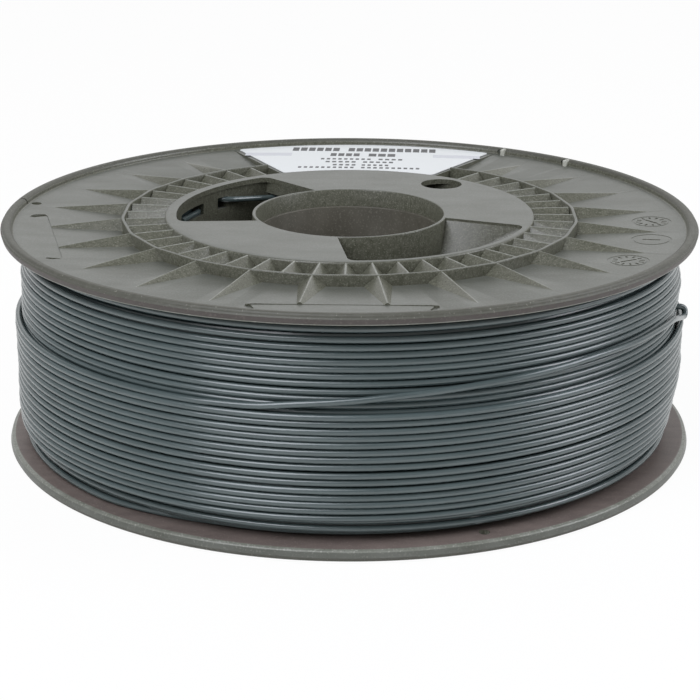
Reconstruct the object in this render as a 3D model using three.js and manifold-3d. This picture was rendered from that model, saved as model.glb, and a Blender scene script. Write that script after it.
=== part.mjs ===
// A filament spool: two identical moulded flanges, a winding barrel and a bore sleeve between them,
// a paper label on the upper flange, and one long strand of filament wound between the flanges.
// Millimetres. +Z runs up the spool's axis, and the origin is the centre of the lower outer face.
import * as THREE from "three";
import { ConvexGeometry } from "three/addons/geometries/ConvexGeometry.js";
import { mergeVertices } from "three/addons/utils/BufferGeometryUtils.js";
import Module from "manifold-3d";

const wasm = await Module();
wasm.setup();

// Overall
const spoolDiameter = 200;
const spoolWidth = 66;
const clearance = 0.3; // between seated pieces
const circleSteps = 60; // flats round every turned piece
const arcSteps = 12; // flats along each arc of a flat shape
const holeSteps = 20; // flats round a small hole
const embed = 0.5; // how far a rib, plate or wall runs into what carries it

// Flange rim, measured down from the outer face
const lipWidth = 3.2;
const beadDepth = 1;
const beadInset = 0.4;
const rimBevelWidth = 3;
const rimBevelRise = 0.4;
const lipFootWidth = 0.6;
const pegWidth = 1.2;
const pegReach = 1.6;
const pegAngles = [44.1, 58.6];

// Flange web, a shallow cone that is deeper towards the hub
const webDepthAtRim = 1.9;
const webDepthAtRibRing = 3;
const webThickness = 1.5;
const troughDepth = 3.8;
const clipHoleDiameter = 3;
const clipHoleInset = 2.2; // from the lip's inner edge to the hole's centre
const clipHoleAngle = 170;
const threadHoleDiameter = 2.2;
const threadHoleInset = 7.6;
const threadHoleAngles = [-103.6, -77];

// Ribs
const ribCount = 24;
const ribPhase = 6.5; // angle of the first rib
const ribRingWidth = 12.8; // from the hub ring out to the rib ring's corners
const ribRingWall = 1.2;
const longRibHalfWidth = 3.75;
const longRibTipInset = 7.3; // from the lip's inner edge back to the rib's tip
const troughRibSlope = 0.78; // half width for each millimetre of height

// Hub: the barrel that the filament is wound on, the ring that it seats over, and the bore
const barrelDiameter = 108.6;
const barrelWall = 1.5;
const hubRingWall = 1.5;
const hubRingLength = 14;
const boreDiameter = 52;
const sleeveWall = 1;
const collarRelief = 0.6; // how much wider the collar is than the bore
const collarWall = 1.6;
const socketDepth = 5;
const socketLength = 7;
const plateThickness = 1.5;
const windowWallThickness = 1.2;
const windowWallLength = 5;

// Each hub plate's two straight edges, by their angles at the collar and at the hub ring
const hubPlates = [
  [
    { atCollar: -12.9, atRing: -16.6 },
    { atCollar: 112, atRing: 120.9 },
  ],
  [
    { atCollar: 201, atRing: 193.1 },
    { atCollar: 263.2, atRing: 269.7 },
  ],
];
const driveHoleDiameter = 12.4;
const driveHoleMargin = 0.4;
const driveHoleAngle = 50.9;

// Slots through the hub ring and the barrel, for the strand's inner end
const slotHeight = 3.6;
const anchorSlotAngle = 139;
const anchorSlotWidth = 5;
const spareSlotAngle = 159;
const spareSlotWidth = 11;

// Label and the sloping plate that it lies on
const labelAngles = [60.6, 113.5];
const labelThickness = 0.2;
const labelAir = 0.1;
const labelMargin = 0.8;
const rampDepthAtHub = 0.4;

// Filament
const filamentDiameter = 1.75;
const fillMargin = 3; // from the flange's edge down to the wound filament
const stepsPerLoop = 24;
const strandSides = 6;
const lastLayerLoops = 15.25;
const layerBelowLoops = 8.5;
const layerOffset = 0.5; // pitches from the last layer's top up to the start of the layer below
const windingStartAngle = 165;
const crossingRise = 5;
const crossingAngle = 45;
const tailAngle = 45;
const rootAngle = 6; // one step of the strand's way up out of the layer underneath
const anchorRun = 3; // from the hub ring's wall in to the strand that lies along it
const anchorEndAngle = 100;
const anchorDrop = 0.8;
const anchorBendSteps = 5;
const anchorLieSteps = 6;

// Radii that follow from them
const spoolRadius = spoolDiameter / 2;
const lipInner = spoolRadius - lipWidth;
const webOuter = lipInner - lipFootWidth;
const barrelOuter = barrelDiameter / 2;
const barrelInner = barrelOuter - barrelWall;
const hubRingOuter = barrelInner - clearance;
const hubRingInner = hubRingOuter - hubRingWall;
const ribRingRadius = hubRingOuter + ribRingWidth;
const ribRingFoot = ribRingRadius * Math.cos(Math.PI / ribCount) - ribRingWall;
const longRibTip = lipInner - longRibTipInset;
const boreRadius = boreDiameter / 2;
const sleeveOuter = boreRadius + sleeveWall;
const socketInner = sleeveOuter + clearance;
const collarInner = boreRadius + collarRelief;
const collarOuter = collarInner + collarWall;

const zAxis = new THREE.Vector3(0, 0, 1);
const radians = THREE.MathUtils.degToRad;

// A point at a radius, an angle in degrees and a height.
const polar = (radius, angle, z = 0) =>
  new THREE.Vector3(radius * Math.cos(radians(angle)), radius * Math.sin(radians(angle)), z);

// ---- Solids ----

function solidOf(geometry) {
  const bare = geometry.clone();
  bare.deleteAttribute("normal");
  bare.deleteAttribute("uv");
  const merged = mergeVertices(bare, 1e-4);
  return new wasm.Manifold(
    new wasm.Mesh({
      numProp: 3,
      vertProperties: new Float32Array(merged.attributes.position.array),
      triVerts: new Uint32Array(merged.index.array),
    }),
  );
}

function geometryOf(solid) {
  const { vertProperties, triVerts } = solid.getMesh();
  const geometry = new THREE.BufferGeometry();
  geometry.setAttribute("position", new THREE.BufferAttribute(vertProperties, 3));
  geometry.setIndex(new THREE.BufferAttribute(triVerts, 1));
  geometry.computeVertexNormals();
  return geometry;
}

// A profile of [radius, z] pairs, written counter-clockwise, turned about the Z axis.
function turned(profile) {
  const closed = [...profile, profile[0]].map(([radius, z]) => new THREE.Vector2(radius, z));
  return solidOf(new THREE.LatheGeometry(closed, circleSteps).rotateX(Math.PI / 2));
}

// A flat shape made into a plate from one height to another.
function plate(shape, bottom, top) {
  const settings = { depth: top - bottom, bevelEnabled: false, curveSegments: arcSteps };
  return solidOf(new THREE.ExtrudeGeometry(shape, settings).translate(0, 0, bottom));
}

// The part of a flat ring between two angles.
function sector(inner, outer, from, to) {
  const shape = new THREE.Shape();
  shape.absarc(0, 0, outer, radians(from), radians(to), false);
  shape.absarc(0, 0, inner, radians(to), radians(from), true);
  return shape;
}

// A box that runs out along a radius, with its width across it.
function radialBox(inner, outer, angle, width, bottom, top) {
  const box = new THREE.BoxGeometry(outer - inner, width, top - bottom);
  box.translate((inner + outer) / 2, 0, (bottom + top) / 2);
  return solidOf(box.rotateZ(radians(angle)));
}

// A round bar along Z, for drilling.
function drill(diameter, radius, angle, bottom, top) {
  const bar = new THREE.CylinderGeometry(diameter / 2, diameter / 2, top - bottom, holeSteps);
  const middle = polar(radius, angle, (bottom + top) / 2);
  return solidOf(bar.rotateX(Math.PI / 2).translate(middle.x, middle.y, middle.z));
}

// ---- Flange ----
// Its own frame has the outer face at z = 0 looking up, and the moulding below it.

// Depth of the web's two faces at a radius.
const webSlope = (webDepthAtRibRing - webDepthAtRim) / (webOuter - ribRingRadius);
const webDepth = (radius) => webDepthAtRim + webSlope * (webOuter - radius);
const windingFaceDepth = (radius) => webDepth(radius) + webThickness;
const rampSlope = (webDepthAtRim - rampDepthAtHub) / (webOuter - hubRingOuter);
const rampDepth = (radius) => rampDepthAtHub + rampSlope * (radius - hubRingOuter);

function rimAndWeb() {
  const bevelInner = spoolRadius - rimBevelWidth;
  return turned([
    [spoolRadius, -windingFaceDepth(bevelInner) + rimBevelRise],
    [spoolRadius, -beadDepth],
    [spoolRadius - beadInset, -beadDepth],
    [spoolRadius - beadInset, 0],
    [lipInner, 0],
    [lipInner, -webDepthAtRim + lipFootWidth],
    [webOuter, -webDepthAtRim],
    [ribRingRadius, -webDepthAtRibRing],
    [ribRingFoot, -troughDepth],
    [hubRingOuter, -troughDepth],
    [hubRingOuter, 0],
    [hubRingInner, 0],
    [hubRingInner, -hubRingLength],
    [hubRingOuter, -hubRingLength],
    [hubRingOuter, -windingFaceDepth(hubRingOuter)],
    [bevelInner, -windingFaceDepth(bevelInner)],
  ]);
}

// The short tube round the bore, with a wider socket inside for the sleeve's end.
function collar() {
  return turned([
    [socketInner, -socketDepth - socketLength],
    [collarOuter, -socketDepth - socketLength],
    [collarOuter, 0],
    [collarInner, 0],
    [collarInner, -socketDepth],
    [socketInner, -socketDepth],
  ]);
}

// The wall down one straight edge of a hub plate, to the right of the edge on its way out.
function edgeWall({ atCollar, atRing }, toTheRight) {
  const foot = polar(collarOuter - embed, atCollar);
  const end = polar(hubRingInner + embed, atRing);
  const right = end.clone().sub(foot).cross(zAxis).setLength(windowWallThickness);
  const across = right.multiplyScalar(toTheRight ? 1 : -1);
  const corners = [foot, end, end.clone().add(across), foot.clone().add(across)];
  return plate(new THREE.Shape(corners), -windowWallLength, 0);
}

// One of the two plates between the collar and the hub ring, with a wall down each edge.
function hubPlate([first, second]) {
  const shape = new THREE.Shape();
  shape.absarc(0, 0, hubRingInner + embed, radians(first.atRing), radians(second.atRing), false);
  shape.absarc(0, 0, collarOuter - embed, radians(second.atCollar), radians(first.atCollar), true);
  return plate(shape, -plateThickness, 0).add(edgeWall(first, false)).add(edgeWall(second, true));
}

// The upright ring of straight walls between the ribs' inner ends.
function ribRing() {
  const corners = (radius) =>
    Array.from({ length: ribCount }, (_, i) => {
      const corner = polar(radius, ribPhase + (i * 360) / ribCount);
      return new THREE.Vector2(corner.x, corner.y);
    });
  const shape = new THREE.Shape(corners(ribRingRadius));
  shape.holes.push(new THREE.Path(corners(ribRingRadius - ribRingWall)));
  return plate(shape, -troughDepth - embed, 0);
}

// A long rib: a ridge that falls from the rib ring's top to the web, with sloping sides.
function longRib(angle) {
  const foot = ribRingRadius - ribRingWall / 2;
  const fall = webDepth(longRibTip) / (longRibTip - foot);
  const buried = longRibTip + embed / (fall - webSlope) / 2;
  const baseDepth = webDepthAtRibRing + embed;
  const halfWidth = (longRibHalfWidth * baseDepth) / webDepthAtRibRing;
  const rib = new ConvexGeometry([
    new THREE.Vector3(foot, 0, 0),
    new THREE.Vector3(foot, halfWidth, -baseDepth),
    new THREE.Vector3(foot, -halfWidth, -baseDepth),
    new THREE.Vector3(buried, 0, -fall * (buried - foot)),
  ]);
  return solidOf(rib.rotateZ(radians(angle)));
}

// A short rib across the trough, with a level ridge.
function troughRib(angle) {
  const depth = troughDepth + embed;
  const ends = [hubRingOuter - embed, ribRingFoot + ribRingWall / 2];
  const corners = ends.flatMap((radius) => [
    new THREE.Vector3(radius, 0, 0),
    new THREE.Vector3(radius, troughRibSlope * depth, -depth),
    new THREE.Vector3(radius, -troughRibSlope * depth, -depth),
  ]);
  return solidOf(new ConvexGeometry(corners).rotateZ(radians(angle)));
}

// The angles from the first rib on, without those under the label or within a quarter pitch of it.
function ribAngles(count) {
  const clear = 360 / ribCount / 4;
  return Array.from({ length: count }, (_, i) => ribPhase + (i * 360) / count).filter(
    (angle) => angle < labelAngles[0] - clear || angle > labelAngles[1] + clear,
  );
}

// A ring between two sloping surfaces, cut down to the label's angles.
function slopingSector(depthAbove, depthBelow, inner, outer, [from, to]) {
  const ring = turned([
    [inner, -depthBelow(inner)],
    [outer, -depthBelow(outer)],
    [outer, -depthAbove(outer)],
    [inner, -depthAbove(inner)],
  ]);
  return ring.intersect(plate(sector(inner - embed, spoolRadius, from, to), -spoolWidth, spoolWidth));
}

// A slot through the hub ring and the barrel, just under the web.
function anchorSlot(angle, width) {
  const top = -windingFaceDepth(hubRingOuter);
  return radialBox(hubRingInner - embed, barrelOuter + embed, angle, width, top - slotHeight, top);
}

function flange() {
  const ringPart = [
    ...ribAngles(ribCount).map(longRib),
    ...ribAngles(2 * ribCount).map(troughRib),
    ...pegAngles.map((angle) =>
      radialBox(lipInner - pegReach, lipInner + embed, angle, pegWidth, -webDepthAtRim - embed, 0),
    ),
  ].reduce((made, piece) => made.add(piece), rimAndWeb().add(ribRing()));
  const overRamp = plate(sector(hubRingOuter, webOuter, ...labelAngles), -webDepthAtRim, embed);
  const ramp = slopingSector(
    rampDepth,
    (radius) => webDepth(radius) + embed,
    hubRingOuter - embed,
    lipInner - embed,
    labelAngles,
  );
  const drillDepth = 2 * troughDepth;
  const holes = [
    drill(
      driveHoleDiameter,
      hubRingInner - driveHoleMargin - driveHoleDiameter / 2,
      driveHoleAngle,
      -plateThickness - embed,
      embed,
    ),
    drill(clipHoleDiameter, lipInner - clipHoleInset, clipHoleAngle, -drillDepth, embed),
    ...threadHoleAngles.map((angle) =>
      drill(threadHoleDiameter, lipInner - threadHoleInset, angle, -drillDepth, embed),
    ),
    anchorSlot(anchorSlotAngle, anchorSlotWidth),
    anchorSlot(spareSlotAngle, spareSlotWidth),
  ];
  const whole = hubPlates
    .map(hubPlate)
    .reduce((made, piece) => made.add(piece), ringPart.subtract(overRamp).add(ramp).add(collar()));
  return holes.reduce((made, hole) => made.subtract(hole), whole);
}

// ---- Barrel, sleeve and label ----

// The half turn that lays the same moulding outer face down, its drive hole under the upper one.
const flip = new THREE.Quaternion().setFromAxisAngle(polar(1, driveHoleAngle), Math.PI);
const mirrored = (angle) => 2 * driveHoleAngle - angle;
const innerSlots = [
  [anchorSlotAngle, anchorSlotWidth],
  [spareSlotAngle, spareSlotWidth],
];

function windingBarrel() {
  const end = windingFaceDepth(barrelInner) + clearance;
  const tube = turned([
    [barrelInner, end],
    [barrelOuter, end],
    [barrelOuter, spoolWidth - end],
    [barrelInner, spoolWidth - end],
  ]);
  const notch = (angle, width, bottom, top) =>
    radialBox(hubRingOuter, barrelOuter + embed, angle, width, bottom, top);
  const depth = windingFaceDepth(hubRingOuter) + slotHeight;
  return innerSlots.reduce(
    (made, [angle, width]) =>
      made
        .subtract(notch(angle, width, spoolWidth - depth, spoolWidth))
        .subtract(notch(mirrored(angle), width, 0, depth)),
    tube,
  );
}

function boreSleeve() {
  const end = socketDepth + clearance;
  return turned([
    [boreRadius, end],
    [sleeveOuter, end],
    [sleeveOuter, spoolWidth - end],
    [boreRadius, spoolWidth - end],
  ]);
}

function label() {
  const edge = THREE.MathUtils.radToDeg(labelMargin / hubRingOuter);
  return slopingSector(
    (radius) => rampDepth(radius) - labelAir - labelThickness,
    (radius) => rampDepth(radius) - labelAir,
    hubRingOuter + labelMargin,
    webOuter - labelMargin,
    [labelAngles[0] + edge, labelAngles[1] - edge],
  );
}

// ---- Filament ----

const strandRadius = filamentDiameter / 2;
const lastRadius = spoolRadius - fillMargin - strandRadius;
const belowRadius = lastRadius - filamentDiameter - clearance;
const stepAngle = 360 / stepsPerLoop;
const faceReach = clearance + strandRadius;
const firstHeight = windingFaceDepth(lastRadius - strandRadius) + faceReach;
const topHeight = spoolWidth - windingFaceDepth(belowRadius - strandRadius) - faceReach;
const pitch = (topHeight - firstHeight) / (lastLayerLoops + layerOffset + layerBelowLoops);
const lastLayerTop = firstHeight + lastLayerLoops * pitch;
const leavingAngle = windingStartAngle + lastLayerLoops * 360;
const belowStart = lastLayerTop + layerOffset * pitch;

// Points one step apart along a helix.
function helix(radius, angle, height, loops) {
  return Array.from({ length: Math.round(loops * stepsPerLoop) + 1 }, (_, i) =>
    polar(radius, angle + i * stepAngle, height + (i * pitch) / stepsPerLoop),
  );
}

// The turns that show above the last layer start under the place where it leaves them.
function layerBelowPoints() {
  return helix(belowRadius, leavingAngle, belowStart, layerBelowLoops);
}

// The last layer climbs to its top, crosses up over the layer underneath, and ends on it.
function lastLayerPoints() {
  const wound = helix(lastRadius, windingStartAngle, firstHeight, lastLayerLoops);
  const steps = Math.round((crossingAngle + tailAngle) / stepAngle);
  const free = Array.from({ length: steps }, (_, i) => {
    const turn = (i + 1) * stepAngle;
    const lift = crossingRise * THREE.MathUtils.smoothstep(turn, 0, crossingAngle);
    return polar(lastRadius, leavingAngle + turn, lastLayerTop + lift + (turn * pitch) / 360);
  });
  return [...wound, ...free];
}

// A closed tube through the points, each section square to the way.
function strandGeometry(points) {
  const positions = [];
  const faces = [];
  points.forEach((point, i) => {
    const before = points[Math.max(i - 1, 0)];
    const after = points[Math.min(i + 1, points.length - 1)];
    const along = after.clone().sub(before).normalize();
    const side = along.clone().cross(zAxis).normalize();
    const up = side.clone().cross(along);
    for (let k = 0; k < strandSides; k += 1) {
      const turn = (2 * Math.PI * k) / strandSides;
      const corner = point
        .clone()
        .addScaledVector(side, strandRadius * Math.cos(turn))
        .addScaledVector(up, strandRadius * Math.sin(turn));
      positions.push(...corner.toArray());
    }
  });
  for (let i = 0; i + 1 < points.length; i += 1) {
    for (let k = 0; k < strandSides; k += 1) {
      const a = i * strandSides + k;
      const b = i * strandSides + ((k + 1) % strandSides);
      faces.push(a, a + strandSides, b, b, a + strandSides, b + strandSides);
    }
  }
  const last = (points.length - 1) * strandSides;
  for (let k = 1; k + 1 < strandSides; k += 1) {
    faces.push(0, k, k + 1, last, last + k + 1, last + k);
  }
  const geometry = new THREE.BufferGeometry();
  geometry.setAttribute("position", new THREE.Float32BufferAttribute(positions, 3));
  geometry.setIndex(faces);
  geometry.computeVertexNormals();
  return geometry;
}

// The strand between the core and the end of a layer that starts at one point and runs to the next.
function strandRoot(start, next) {
  const along = next.clone().sub(start).normalize();
  const face = start.clone().addScaledVector(along, -clearance);
  const straight = face.clone().addScaledVector(along, -filamentDiameter);
  const radius = Math.hypot(straight.x, straight.y);
  const angle = THREE.MathUtils.radToDeg(Math.atan2(straight.y, straight.x));
  const turn = Math.sign(start.x * next.y - start.y * next.x) * rootAngle;
  const sunk = [1, 2].map((step) =>
    polar(radius - step * filamentDiameter, angle - step * turn, start.z),
  );
  return solidOf(strandGeometry([face, straight, ...sunk].reverse()));
}

// The wound layers underneath, as one ring with a step where the last layer ends.
function innerLayers() {
  const dip = Math.cos(Math.PI / stepsPerLoop);
  const lowRadius = (lastRadius - strandRadius) * dip - clearance;
  const highRadius = (belowRadius - strandRadius) * dip - clearance;
  const inner = barrelOuter + clearance;
  const step = belowStart - faceReach;
  const end = (radius) => windingFaceDepth(radius) + clearance;
  const core = turned([
    [inner, end(inner)],
    [lowRadius, end(lowRadius)],
    [lowRadius, step],
    [highRadius, step],
    [highRadius, spoolWidth - end(highRadius)],
    [inner, spoolWidth - end(inner)],
  ]);
  const last = lastLayerPoints();
  const below = layerBelowPoints();
  return core
    .add(strandRoot(last[0], last[1]))
    .add(strandRoot(below[0], below[1]))
    .add(strandRoot(below.at(-1), below.at(-2)));
}

// The inner end comes in through the slot, bends, and lies along the hub ring's inner wall.
function anchorPoints() {
  const height = spoolWidth - windingFaceDepth(hubRingOuter) - slotHeight / 2;
  const start = polar(barrelOuter, anchorSlotAngle, height);
  const wall = polar(hubRingInner - clearance, anchorSlotAngle, height);
  const lie = hubRingInner - anchorRun;
  const bend = 2 * THREE.MathUtils.radToDeg(anchorRun / lie);
  const corner = polar(lie, anchorSlotAngle, height);
  const along = polar(lie, anchorSlotAngle - bend, height);
  const curve = new THREE.QuadraticBezierCurve3(wall, corner, along);
  const run = anchorSlotAngle - bend - anchorEndAngle;
  const rest = Array.from({ length: anchorLieSteps }, (_, i) => {
    const share = (i + 1) / anchorLieSteps;
    return polar(lie, anchorSlotAngle - bend - share * run, height - share * anchorDrop);
  });
  return [start, ...curve.getPoints(anchorBendSteps), ...rest];
}

// The least gap between two stretches of one strand that lie a half loop or more apart along it.
function leastGap(points) {
  const line = new THREE.Line3();
  const nearest = new THREE.Vector3();
  let least = Infinity;
  points.forEach((point, i) => {
    for (let j = i + stepsPerLoop / 2; j + 1 < points.length; j += 1) {
      line.set(points[j], points[j + 1]).closestPointToPoint(point, true, nearest);
      least = Math.min(least, nearest.distanceTo(point));
    }
  });
  return least - filamentDiameter;
}

// ---- Assembly ----

const finishes = {
  flange: { color: 0x8f958f, roughness: 0.62, metalness: 0 },
  hub: { color: 0x6b665c, roughness: 0.65, metalness: 0 },
  paper: { color: 0xe6e9ec, roughness: 0.45, metalness: 0 },
  filament: { color: 0x4d5a60, roughness: 0.38, metalness: 0 },
};

function piece(name, geometry, finish) {
  const mesh = new THREE.Mesh(geometry, new THREE.MeshStandardMaterial(finishes[finish]));
  mesh.name = name;
  return mesh;
}

const spool = new THREE.Group();
const moulding = geometryOf(flange());
const upperFlange = piece("upper_flange", moulding, "flange");
upperFlange.position.z = spoolWidth;
const lowerFlange = piece("lower_flange", moulding.clone(), "flange");
lowerFlange.quaternion.copy(flip);
const paperLabel = piece("label", geometryOf(label()), "paper");
paperLabel.position.z = spoolWidth;

const layers = {
  filament_last_layer: lastLayerPoints(),
  filament_layer_below: layerBelowPoints(),
};
for (const [name, points] of Object.entries(layers)) {
  console.log(name + " least gap to itself: " + leastGap(points).toFixed(2) + " mm");
  spool.add(piece(name, strandGeometry(points), "filament"));
}

spool.add(
  upperFlange,
  lowerFlange,
  piece("winding_barrel", geometryOf(windingBarrel()), "hub"),
  piece("bore_sleeve", geometryOf(boreSleeve()), "hub"),
  paperLabel,
  piece("filament_inner_layers", geometryOf(innerLayers()), "filament"),
  piece("filament_anchor_end", strandGeometry(anchorPoints()), "filament"),
);

export default spool;
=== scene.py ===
"""A filament spool with a wound strand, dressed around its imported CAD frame.

Sizes are in millimetres in the spool's own frame: +Z runs up the axis, and the origin is the centre
of the lower outer face. Angles are in degrees from +X, and the camera looks along +Y. A flange's
own frame has its outer face at a height of 0, looking up. MM turns a size into metres.
"""
import logging
import math
import random
from dataclasses import dataclass
from enum import Enum
from typing import Callable, Iterable, Sequence

import bmesh
import bpy
from mathutils import Matrix, Quaternion, Vector


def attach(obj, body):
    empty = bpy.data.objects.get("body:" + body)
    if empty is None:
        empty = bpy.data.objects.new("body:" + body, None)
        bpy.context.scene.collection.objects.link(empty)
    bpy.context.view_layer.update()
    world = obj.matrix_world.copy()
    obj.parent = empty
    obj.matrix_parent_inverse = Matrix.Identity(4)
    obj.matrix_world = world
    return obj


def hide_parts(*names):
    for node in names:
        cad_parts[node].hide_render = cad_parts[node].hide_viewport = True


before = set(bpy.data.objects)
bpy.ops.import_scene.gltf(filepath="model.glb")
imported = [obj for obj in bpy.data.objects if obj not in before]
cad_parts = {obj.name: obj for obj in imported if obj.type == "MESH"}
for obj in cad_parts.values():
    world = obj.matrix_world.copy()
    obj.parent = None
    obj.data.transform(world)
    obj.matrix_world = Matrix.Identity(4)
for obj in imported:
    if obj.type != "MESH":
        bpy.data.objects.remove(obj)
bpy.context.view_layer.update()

MM = 0.001
NEAR = 0.01 * MM  # points that lie closer together than this count as one
BODY = "root"
CIRCLE_STEPS = 240
SMOOTH_ANGLE = math.radians(32)
UPWARD = Vector((0, 0, 1))

log = logging.getLogger("spool")
Span = tuple[float, float]
Spot = tuple[float, float, float]
Colour = tuple[float, float, float]
Socket = bpy.types.NodeSocket


def metres(*sizes: float) -> Vector:
    """A point in metres from three sizes in millimetres."""
    return Vector(sizes) * MM


def on_circle(radius: float, angle: float, height: float = 0.0) -> Vector:
    """A point in metres at a radius, an angle and a height.

    Args:
        radius: Distance from the axis, in millimetres.
        angle: Degrees from +X.
        height: Height in millimetres.

    Returns:
        The point in metres.
    """
    turn = math.radians(angle)
    return metres(radius * math.cos(turn), radius * math.sin(turn), height)


def turn_about_axis(angle: float) -> Matrix:
    """A turn about the spool's axis, by an angle in degrees."""
    return Matrix.Rotation(math.radians(angle), 4, "Z")


def linear(colour: Colour) -> tuple[float, float, float, float]:
    """The scene-linear value of a colour whose parts run from 0 to 255 as on a screen."""
    parts = [part / 255 for part in colour]
    return (*(p / 12.92 if p <= 0.04045 else ((p + 0.055) / 1.055) ** 2.4 for p in parts), 1.0)


class Operation(Enum):
    """What a tool does to the blank that it is set against."""

    ADD = "UNION"
    REMOVE = "DIFFERENCE"


@dataclass(frozen=True)
class Corner:
    """A corner of a turned profile, with the size of its rounding, in millimetres."""

    radius: float
    height: float
    rounding: float = 0.0


class Blank:
    """A closed mesh in the making, in metres, with the operators that shape this spool's pieces."""

    ROUNDING_SEGMENTS = 3
    WIDE_ROUNDING = 0.8  # wider roundings of a turned profile take twice the segments
    CORNER_SEGMENTS = 4
    END_SEGMENTS = 8
    END_SPARE = 0.01  # what a stadium's end keeps flat in its middle
    FLAT_ANGLE = math.radians(0.5)  # faces that lean less than this become one

    def __init__(self) -> None:
        """Starts with an empty mesh."""
        self.mesh = bmesh.new()

    @classmethod
    def turned(
        cls,
        corners: Sequence[Corner],
        steps: int = CIRCLE_STEPS,
        start: float = 0.0,
        end: float = 360.0,
    ) -> "Blank":
        """A profile with rounded corners, turned about the axis.

        Args:
            corners: The profile's corners in order.
            steps: Flats for a full turn.
            start: Angle where the turning starts.
            end: Angle where it ends; a full turn closes on itself.

        Returns:
            The turned blank.
        """
        blank = cls()
        mesh = blank.mesh
        verts = [mesh.verts.new(metres(c.radius, 0.0, c.height)) for c in corners]
        mesh.faces.new(verts)
        for size in sorted({c.rounding for c in corners if c.rounding > 0}):
            bmesh.ops.bevel(
                mesh,
                geom=[vert for vert, c in zip(verts, corners) if c.rounding == size],
                offset=size * MM,
                offset_type="OFFSET",
                affect="VERTICES",
                segments=cls.ROUNDING_SEGMENTS * (2 if size > cls.WIDE_ROUNDING else 1),
                profile=0.5,
                material=-1,
            )
        full = math.isclose(end - start, 360.0)
        if full:
            bmesh.ops.delete(mesh, geom=mesh.faces[:], context="FACES_ONLY")
        bmesh.ops.spin(
            mesh,
            geom=mesh.verts[:] + mesh.edges[:] + mesh.faces[:],
            cent=(0, 0, 0),
            axis=(0, 0, 1),
            dvec=(0, 0, 0),
            angle=math.radians(end - start),
            steps=max(1, round(steps * (end - start) / 360)),
            use_merge=full,
            use_duplicate=False,
        )
        return blank.outward().moved(turn_about_axis(start))

    @classmethod
    def hull(cls, points: Iterable[Vector], crest: float = 0.0) -> "Blank":
        """The hull round a few points, with the edges that lie in the plane of X and Z rounded.

        Args:
            points: The corners, in metres.
            crest: Width that the rounding takes from each side of the crest, in millimetres.

        Returns:
            The blank, along +X.
        """
        blank = cls()
        for point in points:
            blank.mesh.verts.new(point)
        mesh = blank.mesh
        bmesh.ops.convex_hull(mesh, input=mesh.verts[:])
        bmesh.ops.dissolve_limit(
            mesh, angle_limit=cls.FLAT_ANGLE, verts=mesh.verts[:], edges=mesh.edges[:]
        )
        ridge = [e for e in mesh.edges if all(abs(v.co.y) < NEAR for v in e.verts)]
        return blank.rounded(ridge, crest)

    @classmethod
    def radial_box(
        cls,
        inner: float,
        outer: float,
        angle: float,
        width: float,
        bottom: float,
        top: float,
        rounding: float = 0.0,
    ) -> "Blank":
        """A box that runs out along a radius.

        Args:
            inner: Radius of its inner end, in millimetres.
            outer: Radius of its outer end, in millimetres.
            angle: The radius's angle, in degrees.
            width: Width across the radius, in millimetres.
            bottom: Height of its underside, in millimetres.
            top: Height of its upper side, in millimetres.
            rounding: Rounding of its edges, in millimetres.

        Returns:
            The box.
        """
        blank = cls()
        size = Matrix.Diagonal(metres(outer - inner, width, top - bottom).to_4d())
        middle = Matrix.Translation(metres((inner + outer) / 2, 0.0, (bottom + top) / 2))
        bmesh.ops.create_cube(blank.mesh, size=1.0, matrix=middle @ size)
        return blank.rounded(blank.mesh.edges[:], rounding).moved(turn_about_axis(angle))

    @classmethod
    def pin(
        cls, diameter: float, at: Vector, length: float, along: Vector = UPWARD, sides: int = 32
    ) -> "Blank":
        """A round bar that cuts a hole.

        Args:
            diameter: Width of the bar, in millimetres.
            at: Its middle, in metres.
            length: Its length, in millimetres.
            along: The direction of its axis.
            sides: Flats round it.

        Returns:
            The bar.
        """
        blank = cls()
        place = Matrix.Translation(at) @ along.to_track_quat("Z", "Y").to_matrix().to_4x4()
        bmesh.ops.create_cone(
            blank.mesh,
            cap_ends=True,
            segments=sides,
            radius1=diameter / 2 * MM,
            radius2=diameter / 2 * MM,
            depth=length * MM,
            matrix=place,
        )
        return blank.outward()

    @classmethod
    def stadium(cls, length: float, width: float, bottom: float, top: float) -> "Blank":
        """A bar with round ends that lies along Y.

        Args:
            length: Length over the ends, in millimetres.
            width: Width, in millimetres.
            bottom: Height of its underside, in millimetres.
            top: Height of its upper side, in millimetres.

        Returns:
            The bar.
        """
        blank = cls()
        size = Matrix.Diagonal(metres(width, length, top - bottom).to_4d())
        middle = Matrix.Translation(metres(0.0, 0.0, (bottom + top) / 2))
        bmesh.ops.create_cube(blank.mesh, size=1.0, matrix=middle @ size)
        upright = [e for e in blank.mesh.edges if abs(e.verts[0].co.z - e.verts[1].co.z) > NEAR]
        return blank.rounded(upright, width / 2 - cls.END_SPARE, cls.END_SEGMENTS)

    @classmethod
    def group(cls, blanks: Iterable["Blank"]) -> "Blank":
        """Takes blanks that don't touch into one mesh.

        Args:
            blanks: The blanks, of which only the first is kept.

        Returns:
            The first blank, with all the others in its mesh.
        """
        first, *others = blanks
        for other in others:
            kept = bpy.data.meshes.new("kept")
            other.mesh.to_mesh(kept)
            first.mesh.from_mesh(kept)
            bpy.data.meshes.remove(kept)
            other.mesh.free()
        return first

    def outward(self) -> "Blank":
        """Turns every face outward."""
        bmesh.ops.recalc_face_normals(self.mesh, faces=self.mesh.faces[:])
        return self

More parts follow.
